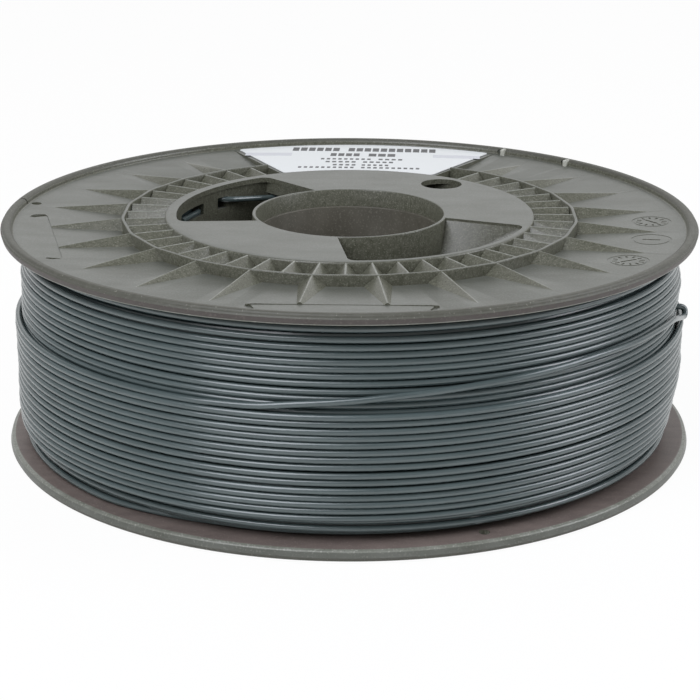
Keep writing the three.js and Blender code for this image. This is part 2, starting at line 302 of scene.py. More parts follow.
    def rounded(self, edges: Sequence[bmesh.types.BMEdge], size: float, segments: int = 2) -> "Blank":
        """Rounds edges, or leaves them sharp where the size is 0.

        Args:
            edges: The edges.
            size: How far the rounding reaches from each edge, in millimetres.
            segments: Flats across the rounding.

        Returns:
            The blank itself.
        """
        if size > 0:
            bmesh.ops.bevel(
                self.mesh,
                geom=list(edges),
                offset=size * MM,
                offset_type="OFFSET",
                affect="EDGES",
                segments=segments,
                profile=0.5,
                material=-1,
                clamp_overlap=True,
            )
        return self.outward()

    def moved(self, place: Matrix) -> "Blank":
        """Moves the whole blank by a matrix."""
        bmesh.ops.transform(self.mesh, matrix=place, verts=self.mesh.verts[:])
        return self

    def repeated(self, angles: Sequence[float]) -> "Blank":
        """Puts copies of the blank about the axis, in place of the blank.

        Args:
            angles: The turn of each copy, in degrees.

        Returns:
            The blank itself, which now holds the copies.
        """
        source = self.mesh.verts[:] + self.mesh.edges[:] + self.mesh.faces[:]
        for angle in angles:
            copy = bmesh.ops.duplicate(self.mesh, geom=source)["geom"]
            verts = [part for part in copy if isinstance(part, bmesh.types.BMVert)]
            bmesh.ops.transform(self.mesh, matrix=turn_about_axis(angle), verts=verts)
        originals = [part for part in source if isinstance(part, bmesh.types.BMVert)]
        bmesh.ops.delete(self.mesh, geom=originals, context="VERTS")
        return self

    def worked(self, steps: Sequence[tuple[Operation, "Blank"]]) -> "Blank":
        """Adds tools to the blank and cuts tools from it, in order.

        Args:
            steps: Each step's operation and tool.

        Returns:
            The blank itself, with one closed skin.
        """
        scene = bpy.context.scene.collection
        body = bpy.data.objects.new("blank", bpy.data.meshes.new("blank"))
        self.mesh.to_mesh(body.data)
        scene.objects.link(body)
        tools = []
        for operation, tool in steps:
            item = bpy.data.objects.new("tool", bpy.data.meshes.new("tool"))
            tool.mesh.to_mesh(item.data)
            tool.mesh.free()
            scene.objects.link(item)
            item.hide_render = True
            tools.append(item)
            modifier = body.modifiers.new("step", "BOOLEAN")
            modifier.operation = operation.value
            modifier.solver = "MANIFOLD"
            modifier.object = item
        shaped = body.evaluated_get(bpy.context.evaluated_depsgraph_get())
        self.mesh.clear()
        self.mesh.from_mesh(shaped.to_mesh())
        for item in (body, *tools):
            data = item.data
            bpy.data.objects.remove(item)
            bpy.data.meshes.remove(data)
        return self


def finished(name: str, blank: Blank, finishes: Sequence[bpy.types.Material]) -> bpy.types.Object:
    """Makes a blank an object at the origin, smooth but for its edges.

    Args:
        name: The piece's name.
        blank: Its mesh in metres.
        finishes: Its materials, by index.

    Returns:
        The object.
    """
    data = bpy.data.meshes.new(name)
    blank.mesh.to_mesh(data)
    blank.mesh.free()
    for finish in finishes:
        data.materials.append(finish)
    data.shade_smooth()
    data.set_sharp_from_angle(angle=SMOOTH_ANGLE)
    piece = bpy.data.objects.new(name, data)
    bpy.context.scene.collection.objects.link(piece)
    return piece


def seated(piece: bpy.types.Object, slot: str, *nodes: str) -> None:
    """Rides a piece on the spool's body, hides the CAD nodes that it stands for, and logs them with its
    finish.

    Args:
        piece: The object.
        slot: The record's material slot.
        nodes: The CAD nodes that it replaces.
    """
    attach(piece, BODY)
    if nodes:
        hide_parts(*nodes)
    faces = len(piece.data.polygons)
    log.info("%s: %d faces, finish %s, stands for %s", piece.name, faces, slot, nodes or "no node")


class Easing(Enum):
    """How a value runs from one end of its range to the other."""

    STRAIGHT = "LINEAR"
    SMOOTH = "SMOOTHSTEP"


class Joining(Enum):
    """How two values are made one."""

    SUM = "ADD"
    PRODUCT = "MULTIPLY"
    GREATER = "MAXIMUM"


class Nodes:
    """A tree of shader nodes, with short ways to add and join them."""

    NOISE_SPAN: Span = (0.3, 0.7)  # where most values of a noise lie

    def __init__(self, tree: bpy.types.NodeTree) -> None:
        """Starts with the tree emptied."""
        self.tree = tree
        self.tree.nodes.clear()

    def add(self, kind: str, **settings: object) -> bpy.types.Node:
        """Adds a node.

        Args:
            kind: The node's type.
            settings: Its settings, by name.

        Returns:
            The node.
        """
        node = self.tree.nodes.new(kind)
        for key, value in settings.items():
            setattr(node, key, value)
        return node

    def join(self, source: Socket, target: Socket) -> None:
        """Links one socket to another."""
        self.tree.links.new(source, target)

    def ranged(
        self,
        value: Socket,
        result: Span = (0.0, 1.0),
        source: Span = NOISE_SPAN,
        easing: Easing = Easing.STRAIGHT,
    ) -> Socket:
        """Maps a value from a range onto another, and holds it at the ends.

        Args:
            value: The value.
            result: What it becomes at the start and the end of its range.
            source: The start and the end of its range.
            easing: How it runs between them.

        Returns:
            The mapped value.
        """
        node = self.add("ShaderNodeMapRange", interpolation_type=easing.value)
        node.inputs["From Min"].default_value, node.inputs["From Max"].default_value = source
        node.inputs["To Min"].default_value, node.inputs["To Max"].default_value = result
        self.join(value, node.inputs["Value"])
        return node.outputs["Result"]

    def combined(self, joining: Joining, first: Socket, second: Socket | float) -> Socket:
        """Makes two values one.

        Args:
            joining: How they are joined.
            first: One value.
            second: The other, a number or a socket.

        Returns:
            The joined value.
        """
        node = self.add("ShaderNodeMath", operation=joining.value)
        self.join(first, node.inputs[0])
        if isinstance(second, float):
            node.inputs[1].default_value = second
        else:
            self.join(second, node.inputs[1])
        return node.outputs["Value"]


class Sheet(Nodes):
    """The nodes of a material, round one Principled shader."""

    def __init__(self, name: str) -> None:
        """Starts a material with a bare shader and the piece's own coordinates.

        Args:
            name: The material's name.
        """
        self.material = bpy.data.materials.new(name)
        self.material.use_nodes = True
        super().__init__(self.material.node_tree)
        self.output = self.add("ShaderNodeOutputMaterial")
        self.shader = self.add("ShaderNodeBsdfPrincipled")
        self.join(self.shader.outputs["BSDF"], self.output.inputs["Surface"])
        self.place = self.add("ShaderNodeTexCoord").outputs["Object"]

    def noise(self, scale: float, detail: float = 2.0, stretch: Spot = (1.0, 1.0, 1.0)) -> Socket:
        """Noise over the piece.

        Args:
            scale: Waves for each metre.
            detail: Octaves.
            stretch: How much finer the pattern is along each axis.

        Returns:
            The noise's value.
        """
        mapping = self.add("ShaderNodeMapping")
        mapping.inputs["Scale"].default_value = stretch
        self.join(self.place, mapping.inputs["Vector"])
        node = self.add("ShaderNodeTexNoise")
        node.inputs["Scale"].default_value = scale
        node.inputs["Detail"].default_value = detail
        self.join(mapping.outputs["Vector"], node.inputs["Vector"])
        return node.outputs["Fac"]

    def blended(self, factor: Socket, first: Colour | Socket, second: Colour | Socket) -> Socket:
        """A colour between two others.

        Args:
            factor: 0 for the first and 1 for the second.
            first: A colour, or a socket that gives one.
            second: A colour, or a socket that gives one.

        Returns:
            The colour between them.
        """
        node = self.add("ShaderNodeMix", data_type="RGBA")
        wanted = {"A_Color": first, "B_Color": second}
        for socket in node.inputs:
            source = wanted.get(socket.identifier)
            if isinstance(source, tuple):
                socket.default_value = linear(source)
            elif source is not None:
                self.join(source, socket)
        self.join(factor, node.inputs["Factor"])
        return next(out for out in node.outputs if out.identifier == "Result_Color")

    def coloured(self, factor: Socket, first: Colour | Socket, second: Colour | Socket) -> None:
        """Sets a colour between two others on the shader."""
        self.join(self.blended(factor, first, second), self.shader.inputs["Base Color"])

    def roughened(self, value: Socket, middle: float, spread: Span) -> None:
        """Sets a roughness that follows a value, from the spread's low end to its high end."""
        rough = self.ranged(value, (middle + spread[0], middle + spread[1]))
        self.join(rough, self.shader.inputs["Roughness"])

    def bumped(self, height: Socket, depth: float) -> None:
        """Sets a bump on the shader.

        Args:
            height: The bump's height, from 0 to 1.
            depth: How deep it is, in millimetres.
        """
        node = self.add("ShaderNodeBump")
        node.inputs["Strength"].default_value = 1.0
        node.inputs["Distance"].default_value = depth * MM
        self.join(height, node.inputs["Height"])
        self.join(node.outputs["Normal"], self.shader.inputs["Normal"])


@dataclass(frozen=True)
class MouldedPlastic:
    """Recycled plastic off a mould: dull and mottled, with pale flecks and a fine grain.

    Scales are waves for each metre. Flecks show where their noise rises past its start.
    """

    name: str
    light: Colour
    dark: Colour
    fleck: Colour
    roughness: float = 0.32
    roughness_spread: Span = (-0.06, 0.08)
    mottle_scale: float = 140.0
    mottle_detail: float = 6.0
    streak: Spot = (1.0, 2.5, 1.0)
    fleck_scale: float = 1800.0
    fleck_start: float = 0.56
    fleck_blend: float = 0.12
    grain_scale: float = 2600.0
    grain_depth: float = 0.012
    fine_detail: float = 3.0

    def material(self) -> bpy.types.Material:
        """Makes the material.

        Returns:
            The material.
        """
        sheet = Sheet(self.name)
        mottle = sheet.ranged(sheet.noise(self.mottle_scale, self.mottle_detail, self.streak))
        flecks = sheet.noise(self.fleck_scale, self.fine_detail)
        spots = sheet.ranged(flecks, source=(self.fleck_start, self.fleck_start + self.fleck_blend))
        sheet.coloured(spots, sheet.blended(mottle, self.dark, self.light), self.fleck)
        sheet.roughened(flecks, self.roughness, self.roughness_spread)
        sheet.bumped(sheet.noise(self.grain_scale, self.fine_detail), self.grain_depth)
        return sheet.material


@dataclass(frozen=True)
class ExtrudedStrand:
    """Drawn filament: a smooth skin with faint bands of tone and gloss along it."""

    name: str
    light: Colour
    dark: Colour
    roughness: float = 0.22
    roughness_spread: Span = (-0.01, 0.02)
    gloss: float = 0.85
    band_scale: float = 60.0
    band_detail: float = 3.0
    band_stretch: Spot = (1.0, 1.0, 9.0)
    skin_scale: float = 500.0
    skin_depth: float = 0.001

    def material(self) -> bpy.types.Material:
        """Makes the material.

        Returns:
            The material.
        """
        sheet = Sheet(self.name)
        bands = sheet.ranged(sheet.noise(self.band_scale, self.band_detail, self.band_stretch))
        skin = sheet.noise(self.skin_scale)
        sheet.coloured(bands, self.dark, self.light)
        sheet.roughened(skin, self.roughness, self.roughness_spread)
        sheet.shader.inputs["Specular IOR Level"].default_value = self.gloss
        sheet.bumped(skin, self.skin_depth)
        return sheet.material


@dataclass(frozen=True)
class CoatedPaper:
    """Printed label stock: white or inked, with a soft sheen and a faint fibre."""

    name: str
    light: Colour
    dark: Colour
    roughness: float = 0.4
    roughness_spread: Span = (-0.05, 0.05)
    fibre_scale: float = 1500.0
    fibre_detail: float = 4.0
    fibre_stretch: Spot = (1.0, 3.0, 1.0)
    fibre_depth: float = 0.006

    def material(self) -> bpy.types.Material:
        """Makes the material.

        Returns:
            The material.
        """
        sheet = Sheet(self.name)
        fibre = sheet.noise(self.fibre_scale, self.fibre_detail, self.fibre_stretch)
        sheet.coloured(sheet.ranged(fibre), self.dark, self.light)
        sheet.roughened(fibre, self.roughness, self.roughness_spread)
        sheet.bumped(fibre, self.fibre_depth)
        return sheet.material


@dataclass(frozen=True)
class Finishes:
    """Every material of the spool, made once."""

    outer: bpy.types.Material
    slope: bpy.types.Material
    winding_side: bpy.types.Material
    edge: bpy.types.Material
    peg: bpy.types.Material
    side: bpy.types.Material
    crest: bpy.types.Material
    hub: bpy.types.Material
    strand: bpy.types.Material
    paper: bpy.types.Material
    ink: bpy.types.Material
    pale_ink: bpy.types.Material

    @classmethod
    def made(cls) -> "Finishes":
        """Makes the materials from their colours.

        Returns:
            The materials.
        """
        return cls(
            outer=MouldedPlastic(
                "flange_outer_plastic",
                (99, 101, 94),
                (84, 86, 78),
                (110, 111, 103),
                roughness=0.38,
                mottle_scale=70.0,
            ).material(),
            # Leaning faces: a finer mottle and flecks, with a darker, more olive tone that is painted
            # shade
            slope=MouldedPlastic(
                "flange_slope_mottle_painted_shade",
                (98, 98, 86),
                (75, 76, 63),
                (118, 119, 105),
                mottle_scale=700.0,
                fleck_scale=2500.0,
                fleck_start=0.54,
            ).material(),
            # Faces towards the strand: a warm brown copy of the plastic that paints the dim bounce
            # light and shade on that side
            winding_side=MouldedPlastic(
                "flange_winding_side_painted_bounce_shade",
                (112, 101, 95),
                (98, 88, 83),
                (124, 113, 107),
                roughness=0.5,
            ).material(),
            edge=MouldedPlastic(
                "flange_edge_plastic",
                (84, 84, 75),
                (73, 73, 64),
                (146, 146, 135),
                roughness=0.5,
                mottle_scale=420.0,
                fleck_start=0.64,
            ).material(),
            peg=MouldedPlastic(
                "flange_peg_plastic", (190, 191, 180), (168, 168, 156), (206, 207, 198)
            ).material(),
            # The upper rim's side: a darker brown that paints the shade it stands in; the lower
            # flange's side keeps the outer finish
            side=MouldedPlastic(
                "flange_side_painted_shade", (76, 70, 66), (67, 61, 57), (88, 82, 77), roughness=0.5
            ).material(),
            # Rib crests and the rim's bevel: a lighter copy of the plastic that paints the highlight
            # along rounded edges
            crest=MouldedPlastic(
                "flange_crest_painted_highlight", (126, 128, 119), (106, 108, 98), (150, 151, 142)
            ).material(),
            hub=MouldedPlastic(
                "hub_plastic", (92, 89, 79), (79, 76, 66), (106, 103, 92), roughness=0.5
            ).material(),
            strand=ExtrudedStrand("filament_plastic", (77, 89, 89), (67, 79, 79)).material(),
            paper=CoatedPaper("label_paper", (222, 225, 224), (216, 219, 218)).material(),
            ink=CoatedPaper("label_ink", (52, 54, 58), (40, 42, 46)).material(),
            pale_ink=CoatedPaper("label_pale_ink", (203, 205, 209), (194, 196, 200)).material(),
        )


class Area(Enum):
    """The areas of a flange that have a finish of their own, by material index; several of these
    finishes are painted light or shade.
    """

    OUTER = 0
    # leaning faces: finer mottle, and a darker, more olive tone that is painted shade
    SLOPE = 1
    # faces towards the strand: a warm brown that is painted bounce shade
    WINDING_SIDE = 2
    EDGE = 3
    PEG = 4
    # the rim's side: painted darker brown shade on the upper flange
    SIDE = 5
    # rib crests and the rim's bevel: a lighter tone that is painted highlight
    CREST = 6


@dataclass(frozen=True)
class PlateEdge:
    """A hub plate's straight edge beside a window, by its angles at the collar and at the hub ring.

    A wall hangs from the edge, and its foot leans out into the window by the flare.
    """

    at_collar: float
    at_ring: float
    wall_depth: float
    flare: float = 0.0

    def ends(self, collar: float, ring: float, spare: float) -> tuple[Vector, Vector]:
        """The edge's ends in metres, each run on past its radius by a share of the length."""
        foot, head = on_circle(collar, self.at_collar), on_circle(ring, self.at_ring)
        return foot.lerp(head, -spare), foot.lerp(head, 1 + spare)


@dataclass(frozen=True)
class Window:
    """A window through the hub between two plate edges, out to a radius beside the hub ring.

    Where it is cut through the ring, it takes the ring's inner side away up to that radius.
    """

    first: PlateEdge
    last: PlateEdge
    radius: float
    cuts_ring: bool = False


@dataclass(frozen=True)
class Flange:
    """One flange moulding, made outer face up at a height of 0 and set at either end.

    The web is a shallow cone that is deeper towards the hub. Ribs, hub plates and collar are added
    to the turned body, and windows, holes, slots and shallow marks are cut from it. Depths run down
    from the outer face. A place on the web is (angle, radius), and a slot is (angle, width). What
    is joined or cut runs on past its neighbour's surface by the embed.
    """

    rim_radius: float = 100.0
    side_draft: float = 0.45
    edge_depth: float = 2.97
    edge_rounding: float = 0.3
    lip_width: float = 3.15
    lip_crown: Span = (0.85, 1.35)
    lip_draft: float = 0.1
    lip_foot_rounding: float = 0.45
    bead_depth: float = 0.95
    bead_inset: float = 0.42
    ledge_drop: float = 0.35
    ledge_roundings: Span = (0.1, 0.06)
    bevel_inner: float = 98.4
    bevel_rounding: float = 0.5
    web_edge: float = 96.2
    web_edge_depth: float = 1.9
    web_thickness: float = 1.5
    rib_ring_radius: float = 66.0
    rib_ring_wall: float = 0.95
    rib_ring_corner: float = 2.2
    rib_ring_rounding: float = 0.25
    rib_ring_depth: float = 3.0
    rib_count: int = 24
    rib_phase: float = 6.5
    rib_half_width: float = 3.75
    rib_tip: float = 89.5
    rib_run_on: float = 6.0
    crest: float = 0.22
    trough_inner: float = 53.4
    trough_depth: float = 3.8
    trough_draft: float = 0.05
    trough_shoulder: float = 2.4
    trough_slope: float = 0.88
    trough_crest: float = 0.45
    trough_rib_sink: float = 0.1
    trough_rib_end: float = 1.5
    embed: float = 0.5
    hub_ring_outer: float = 52.5
    hub_ring_inner: float = 51.0
    hub_ring_lip: float = 50.5
    hub_ring_length: float = 14.0
    hub_ring_roundings: Span = (0.6, 0.4)
    barrel_outer: float = 54.3
    label_angles: Span = (60.6, 113.5)
    label_margins: Span = (0.05, 0.2)
    ramp_depth_at_hub: float = 0.4
    collar_inner: float = 26.6
    collar_outer: float = 28.2
    collar_draft: float = 0.6
    collar_roundings: Span = (0.2, 0.3)
    socket_inner: float = 27.3
    socket_depth: float = 5.0
    socket_length: float = 7.0
    plate_thickness: float = 1.5
    plate_wall: float = 1.2
    windows: tuple[Window, ...] = (
        Window(PlateEdge(112.0, 120.9, 5.0), PlateEdge(201.0, 193.1, 13.5), 50.1),
        Window(
            PlateEdge(263.2, 269.7, 13.5),
            PlateEdge(347.1, 343.4, 13.5, flare=6.5),
            51.6,
            cuts_ring=True,
        ),
    )
    window_corner: float = 2.5
    window_steps: int = 12
    window_run_on: float = 0.05
    wall_run_on: float = 0.01
    tool_rise: float = 1.0
    drive_hole: float = 12.4
    drive_hole_radius: float = 44.4
    drive_hole_angle: float = 50.9
    drive_hole_sides: int = 72
    slots: tuple[Span, ...] = ((140.0, 4.4), (159.4, 16.0))
    slot_height: float = 2.4
    slot_top: float = 3.9
    slot_recess: float = 0.1
    slot_rounding: float = 0.25
    clip_hole: float = 3.0
    clip_hole_radius: float = 94.6
    clip_hole_angle: float = 170.0
    notch_angle: float = 171.2
    notch_width: float = 0.8
    notch_depth: float = 1.7
    notch_margins: Span = (0.4, 1.2)
    peg_angles: tuple[float, ...] = (44.1, 58.6)
    peg_width: float = 1.2
    peg_reach: float = 1.3
    peg_root: float = 1.2
    peg_rounding: float = 0.2
    clip_eye: float = 1.7
    clip_eye_depth: float = 0.6
    clip_eye_height: float = -1.0
    clip_eye_sides: int = 20
    panel_places: tuple[Span, ...] = ((-91.2, 86.3), (-167.0, 87.6))
    panel_length: float = 49.0
    panel_width: float = 5.0
    panel_depth: float = 0.1
    panel_end_length: float = 4.4
    panel_end_width: float = 1.5
    panel_end_depth: float = 0.5
    panel_end_lean: float = 18.0
    dial_places: tuple[Span, ...] = ((-1.0, 87.3), (-14.1, 87.2), (-29.6, 86.7))
    dial_diameter: float = 11.5
    dial_line: float = 0.8
    dial_depth: float = 0.09
    dial_steps: int = 48
    dial_mark_depth: float = 0.2
    dial_pointer: Span = (5.2, 0.8)
    dial_pointer_turn: float = 35.0
    dial_pointer_step: float = 55.0
    dial_ticks: int = 12
    dial_tick_reach: Span = (3.0, 4.5)
    dial_tick_width: float = 0.6
    plain_dial: int = 1
    downward_share: float = -0.4
    level_share: float = 0.95
    crest_share: float = 0.8
    crest_short: float = 6.0
    winding_side_depth: float = 2.2
    side_reach: float = 0.5
    ledge_reach: float = 0.22
    area_spare: float = 0.2
    peg_area: Span = (2.0, 0.1)
    peg_area_share: float = 0.6

    @property
    def lip_inner(self) -> float:
        """Radius of the lip's inner wall."""
        return self.rim_radius - self.lip_width

    @property
    def web_slope(self) -> float:
        """How much deeper the web lies for each millimetre towards the hub."""
        run = self.web_edge - self.rib_ring_radius
        return (self.rib_ring_depth - self.web_edge_depth) / run

    @property
    def ramp_slope(self) -> float:
        """How much deeper the label's sloping plate lies for each millimetre towards the rim."""
        run = self.web_edge - self.hub_ring_outer
        return (self.web_edge_depth - self.ramp_depth_at_hub) / run

    def web_depth(self, radius: float) -> float:
        """Depth of the web's outer surface at a radius."""
        return self.web_edge_depth + self.web_slope * (self.web_edge - radius)

    def winding_depth(self, radius: float) -> float:
        """Depth of the winding-side surface at a radius."""
        return self.web_depth(radius) + self.web_thickness

    def ramp_depth(self, radius: float) -> float:
        """Depth of the sloping plate under the label at a radius."""
        return self.ramp_depth_at_hub + self.ramp_slope * (radius - self.hub_ring_outer)

    def body(self) -> Blank:
        """The turned body: rim, lip, web, trough and hub ring.

        Returns:
            The body.
        """
        rim, rounding = self.rim_radius, self.edge_rounding
        bead = rim - self.bead_inset
        return Blank.turned(
            [
                Corner(rim - self.side_draft, -self.edge_depth, rounding),
                Corner(rim, -self.bead_depth - self.ledge_drop, self.ledge_roundings[0]),
                Corner(bead, -self.bead_depth, self.ledge_roundings[1]),
                Corner(bead, 0.0, self.lip_crown[0]),
                Corner(self.lip_inner, 0.0, self.lip_crown[1]),
                Corner(
                    self.lip_inner - self.lip_draft,
                    -self.web_depth(self.lip_inner),
                    self.lip_foot_rounding,
                ),
                Corner(self.rib_ring_radius, -self.rib_ring_depth),
                Corner(self.rib_ring_radius - self.trough_shoulder, -self.trough_depth),
                Corner(self.trough_inner, -self.trough_depth, rounding),
                Corner(self.trough_inner - self.trough_draft, 0.0, self.hub_ring_roundings[0]),
                Corner(self.hub_ring_lip, 0.0, self.hub_ring_roundings[1]),
                Corner(self.hub_ring_inner, -self.hub_ring_length, rounding),
                Corner(self.hub_ring_outer, -self.hub_ring_length, rounding),
                Corner(self.hub_ring_outer, -self.winding_depth(self.hub_ring_outer)),
                Corner(self.bevel_inner, -self.winding_depth(self.bevel_inner), self.bevel_rounding),
            ]
        )

    def rib_angles(self, count: int) -> list[float]:
        """The angles of evenly spaced ribs, without those under the label.

        Args:
            count: Ribs in a full turn.

        Returns:
            The angles in degrees.
        """
        clear = 360 / self.rib_count / 4
        low, high = self.label_angles
        angles = [self.rib_phase + i * 360 / count for i in range(count)]
        return [a for a in angles if not low - clear <= a <= high + clear]

    def rib_ring(self) -> Blank:
        """The upright ring of straight walls that joins the long ribs' inner ends.

        Returns:
            The ring, with a corner at each rib.
        """
        outer, inner = self.rib_ring_radius, self.rib_ring_radius - self.rib_ring_wall
        foot = -self.trough_depth - self.embed
        profile = [
            Corner(outer, foot),
            Corner(outer, 0.0, self.rib_ring_rounding),
            Corner(inner, 0.0, self.rib_ring_rounding),
            Corner(inner, foot),
        ]
        ring = Blank.turned(profile, steps=self.rib_count)
        half_pitch = math.pi / self.rib_count
        across = []
        for edge in ring.mesh.edges:
            start, end = (vert.co.xy for vert in edge.verts)
            if start.angle(end) < half_pitch:
                across.append(edge)
        return ring.rounded(across, self.rib_ring_corner).moved(turn_about_axis(self.rib_phase))

    def long_ribs(self) -> Blank:
        """The ridges that fall from the rib ring's top to the web.

        Returns:
            The ribs.
        """
        foot = self.rib_ring_radius - self.rib_ring_wall / 2
        base = self.rib_ring_depth + self.embed
        half = self.rib_half_width * base / self.rib_ring_depth
        fall = self.web_depth(self.rib_tip) / (self.rib_tip - foot)
        buried = self.rib_tip + self.rib_run_on
        points = [
            metres(foot, 0.0, 0.0),
            metres(foot, half, -base),
            metres(foot, -half, -base),
            metres(buried, 0.0, -fall * (buried - foot)),
        ]
        return Blank.hull(points, self.crest).repeated(self.rib_angles(self.rib_count))

    def trough_ribs(self) -> Blank:
        """The short ribs across the trough, with level crests.

        Returns:
            The ribs.
        """
        depth = self.trough_depth + self.trough_rib_sink
        half = self.trough_slope * depth
        points = [
            metres(radius, aside, height)
            for radius in (self.trough_inner - self.embed, self.rib_ring_radius - self.trough_rib_end)
            for aside, height in ((0.0, 0.0), (half, -depth), (-half, -depth))
        ]
        rib = Blank.hull(points)
        level = [e for e in rib.mesh.edges if all(v.co.z > -NEAR for v in e.verts)]
        rib.rounded(level, self.trough_crest, Blank.ROUNDING_SEGMENTS)
        return rib.repeated(self.rib_angles(2 * self.rib_count))

    def label_space(self) -> Blank:
        """The space that the label's sloping plate takes from ribs and rib ring.

        Returns:
            The cutting tool.
        """
        inner = self.hub_ring_outer + self.label_margins[0]
        outer = self.web_edge - self.label_margins[1]
        return Blank.turned(
            [
                Corner(inner, -self.web_edge_depth),
                Corner(outer, -self.web_edge_depth),
                Corner(outer, self.embed),
                Corner(inner, self.embed),
            ],
            start=self.label_angles[0],
            end=self.label_angles[1],
        )

    def ramp(self) -> Blank:
        """The sloping plate that carries the label.

        Returns:
            The plate.
        """
        inner, outer = self.hub_ring_outer - self.embed, self.lip_inner - self.embed
        return Blank.turned(
            [
                Corner(inner, -self.trough_depth - self.embed),
                Corner(outer, -self.web_depth(outer) - self.embed),
                Corner(outer, -self.ramp_depth(outer)),
                Corner(inner, -self.ramp_depth(inner)),
            ],
            start=self.label_angles[0],
            end=self.label_angles[1],
        )

    def collar(self) -> Blank:
        """The short tube round the bore, with a socket inside it for the sleeve.

        Returns:
            The collar.
        """
        end = -self.socket_depth - self.socket_length
        low, high = self.collar_roundings
        return Blank.turned(
            [
                Corner(self.socket_inner, end),
                Corner(self.collar_outer, end, low),
                Corner(self.collar_outer, 0.0, high),
                Corner(self.collar_inner + self.collar_draft, 0.0, high),
                Corner(self.collar_inner, -self.socket_depth),
                Corner(self.socket_inner, -self.socket_depth),
            ]
        )

    def hub_plates(self) -> Blank:
        """The two plates between collar and hub ring, left by the two windows.

        Returns:
            The plates.
        """
        inner, outer = self.collar_outer - self.embed, self.hub_ring_inner + self.embed / 2
        disc = Blank.turned(
            [
                Corner(inner, -self.plate_thickness),
                Corner(outer, -self.plate_thickness),
                Corner(outer, 0.0),
                Corner(inner, 0.0),
            ]
        )
        return disc.worked([(Operation.REMOVE, self.space(window)) for window in self.windows])

    def space(self, window: Window) -> Blank:
        """The space of a window, with its corners at the ring rounded.

        Args:
            window: The window.

        Returns:
            The cutting tool.
        """
        first, last = window.first, window.last
        turn = (last.at_ring - first.at_ring) / self.window_steps
        arc = [on_circle(window.radius, first.at_ring + i * turn) for i in range(self.window_steps + 1)]
        feet = [
            edge.ends(self.collar_outer, self.hub_ring_inner, self.window_run_on)[0]
            for edge in (first, last)
        ]
        depth = self.hub_ring_length if window.cuts_ring else self.plate_thickness
        heights = (metres(0, 0, -depth - self.tool_rise), metres(0, 0, self.plate_thickness))
        space = Blank.hull(spot + height for spot in arc + feet for height in heights)
        corners = [
            edge
            for edge in space.mesh.edges
            if any(
                all((vert.co.xy - spot.xy).length < NEAR for vert in edge.verts)
                for spot in (arc[0], arc[-1])
            )
        ]
        return space.rounded(corners, self.window_corner, Blank.CORNER_SEGMENTS)

    def plate_wall_under(self, edge: PlateEdge, side: int) -> Blank:
        """The wall under a plate's edge.

        Args:
            edge: The edge.
            side: 1 where the wall lies on the side of rising angles, and -1 on the other.

        Returns:
            The wall.
        """
        foot, head = edge.ends(self.collar_outer, self.hub_ring_inner, self.wall_run_on)
        inward = (head - foot).normalized().cross(-UPWARD) * side * MM
        points = []
        for depth, lean in ((self.plate_thickness / 2, 0.0), (edge.wall_depth, edge.flare)):
            level = metres(0, 0, -depth) - inward * lean
            for end in (foot, head):
                points += [end + level, end + level + inward * self.plate_wall]
        return Blank.hull(points)

    def plate_walls(self) -> Blank:
        """The walls that hang from the straight edges of the hub plates.

        Returns:
            The walls.
        """
        return Blank.group(
            self.plate_wall_under(edge, side)
            for window in self.windows
            for edge, side in ((window.first, -1), (window.last, 1))
        )

    def pegs(self) -> Blank:
        """The clip pegs on the lip's inner wall.

        Returns:
            The pegs.
        """
        return Blank.group(
            Blank.radial_box(
                self.lip_inner - self.peg_reach,
                self.lip_inner + self.peg_root,
                angle,
                self.peg_width,
                -self.web_edge_depth - self.embed,
                0.0,
                rounding=self.peg_rounding,
            )
            for angle in self.peg_angles
        )

    def holes(self) -> Blank:
        """The drive hole, the clip hole and its notch, and the eyes beside the pegs.

        Returns:
            The cutting tools.
        """
        deep = 4 * self.trough_depth
        drive_at = on_circle(self.drive_hole_radius, self.drive_hole_angle)
        clip_at = on_circle(self.clip_hole_radius, self.clip_hole_angle)
        notch = Blank.radial_box(
            self.lip_inner - self.notch_margins[0],
            self.rim_radius - self.notch_margins[1],
            self.notch_angle,
            self.notch_width,
            -self.notch_depth,
            self.embed,
        )
        drive = Blank.pin(self.drive_hole, drive_at, deep, sides=self.drive_hole_sides)
        tools = [drive, Blank.pin(self.clip_hole, clip_at, deep), notch]
        for angle in self.peg_angles:
            turn = angle + math.degrees((self.peg_width + self.clip_eye) / 2 / self.lip_inner)
            at = on_circle(self.lip_inner, turn, self.clip_eye_height)
            outward, length = on_circle(1.0, turn), 2 * self.clip_eye_depth
            tools.append(Blank.pin(self.clip_eye, at, length, outward, self.clip_eye_sides))
        return Blank.group(tools)

    def strand_slots(self) -> Blank:
        """The slots through the hub ring for the strand's inner end.

        Returns:
            The cutting tool.
        """
        top = -self.winding_depth(self.hub_ring_outer)
        bottom, inner = top - self.slot_height, self.hub_ring_lip - self.embed
        ends = (
            (self.hub_ring_outer - self.slot_recess, -self.slot_top),
            (self.barrel_outer, top),
        )
        first, *others = (
            Blank.radial_box(inner, outer, angle, width, bottom, height, self.slot_rounding)
            for angle, width in self.slots
            for outer, height in ends
        )
        return first.worked([(Operation.ADD, other) for other in others])

    def on_web(self, angle: float, radius: float) -> Matrix:
        """The place of a mark on the web.

        Args:
            angle: The mark's angle, in degrees.
            radius: The radius of its middle, in millimetres.

        Returns:
            The place, with X outward and Z square to the cone.
        """
        lean = Matrix.Rotation(-math.atan(self.web_slope), 4, "Y")
        at = Matrix.Translation(metres(radius, 0.0, -self.web_depth(radius)))
        return turn_about_axis(angle) @ at @ lean

    def panels(self) -> Blank:
        """The shallow round-ended panels between ribs and rim, which are left bare.

        Returns:
            The cutting tools.
        """
        size = (self.panel_length, self.panel_width, -self.panel_depth, 2 * self.tool_rise)
        return Blank.group(Blank.stadium(*size).moved(self.on_web(*at)) for at in self.panel_places)

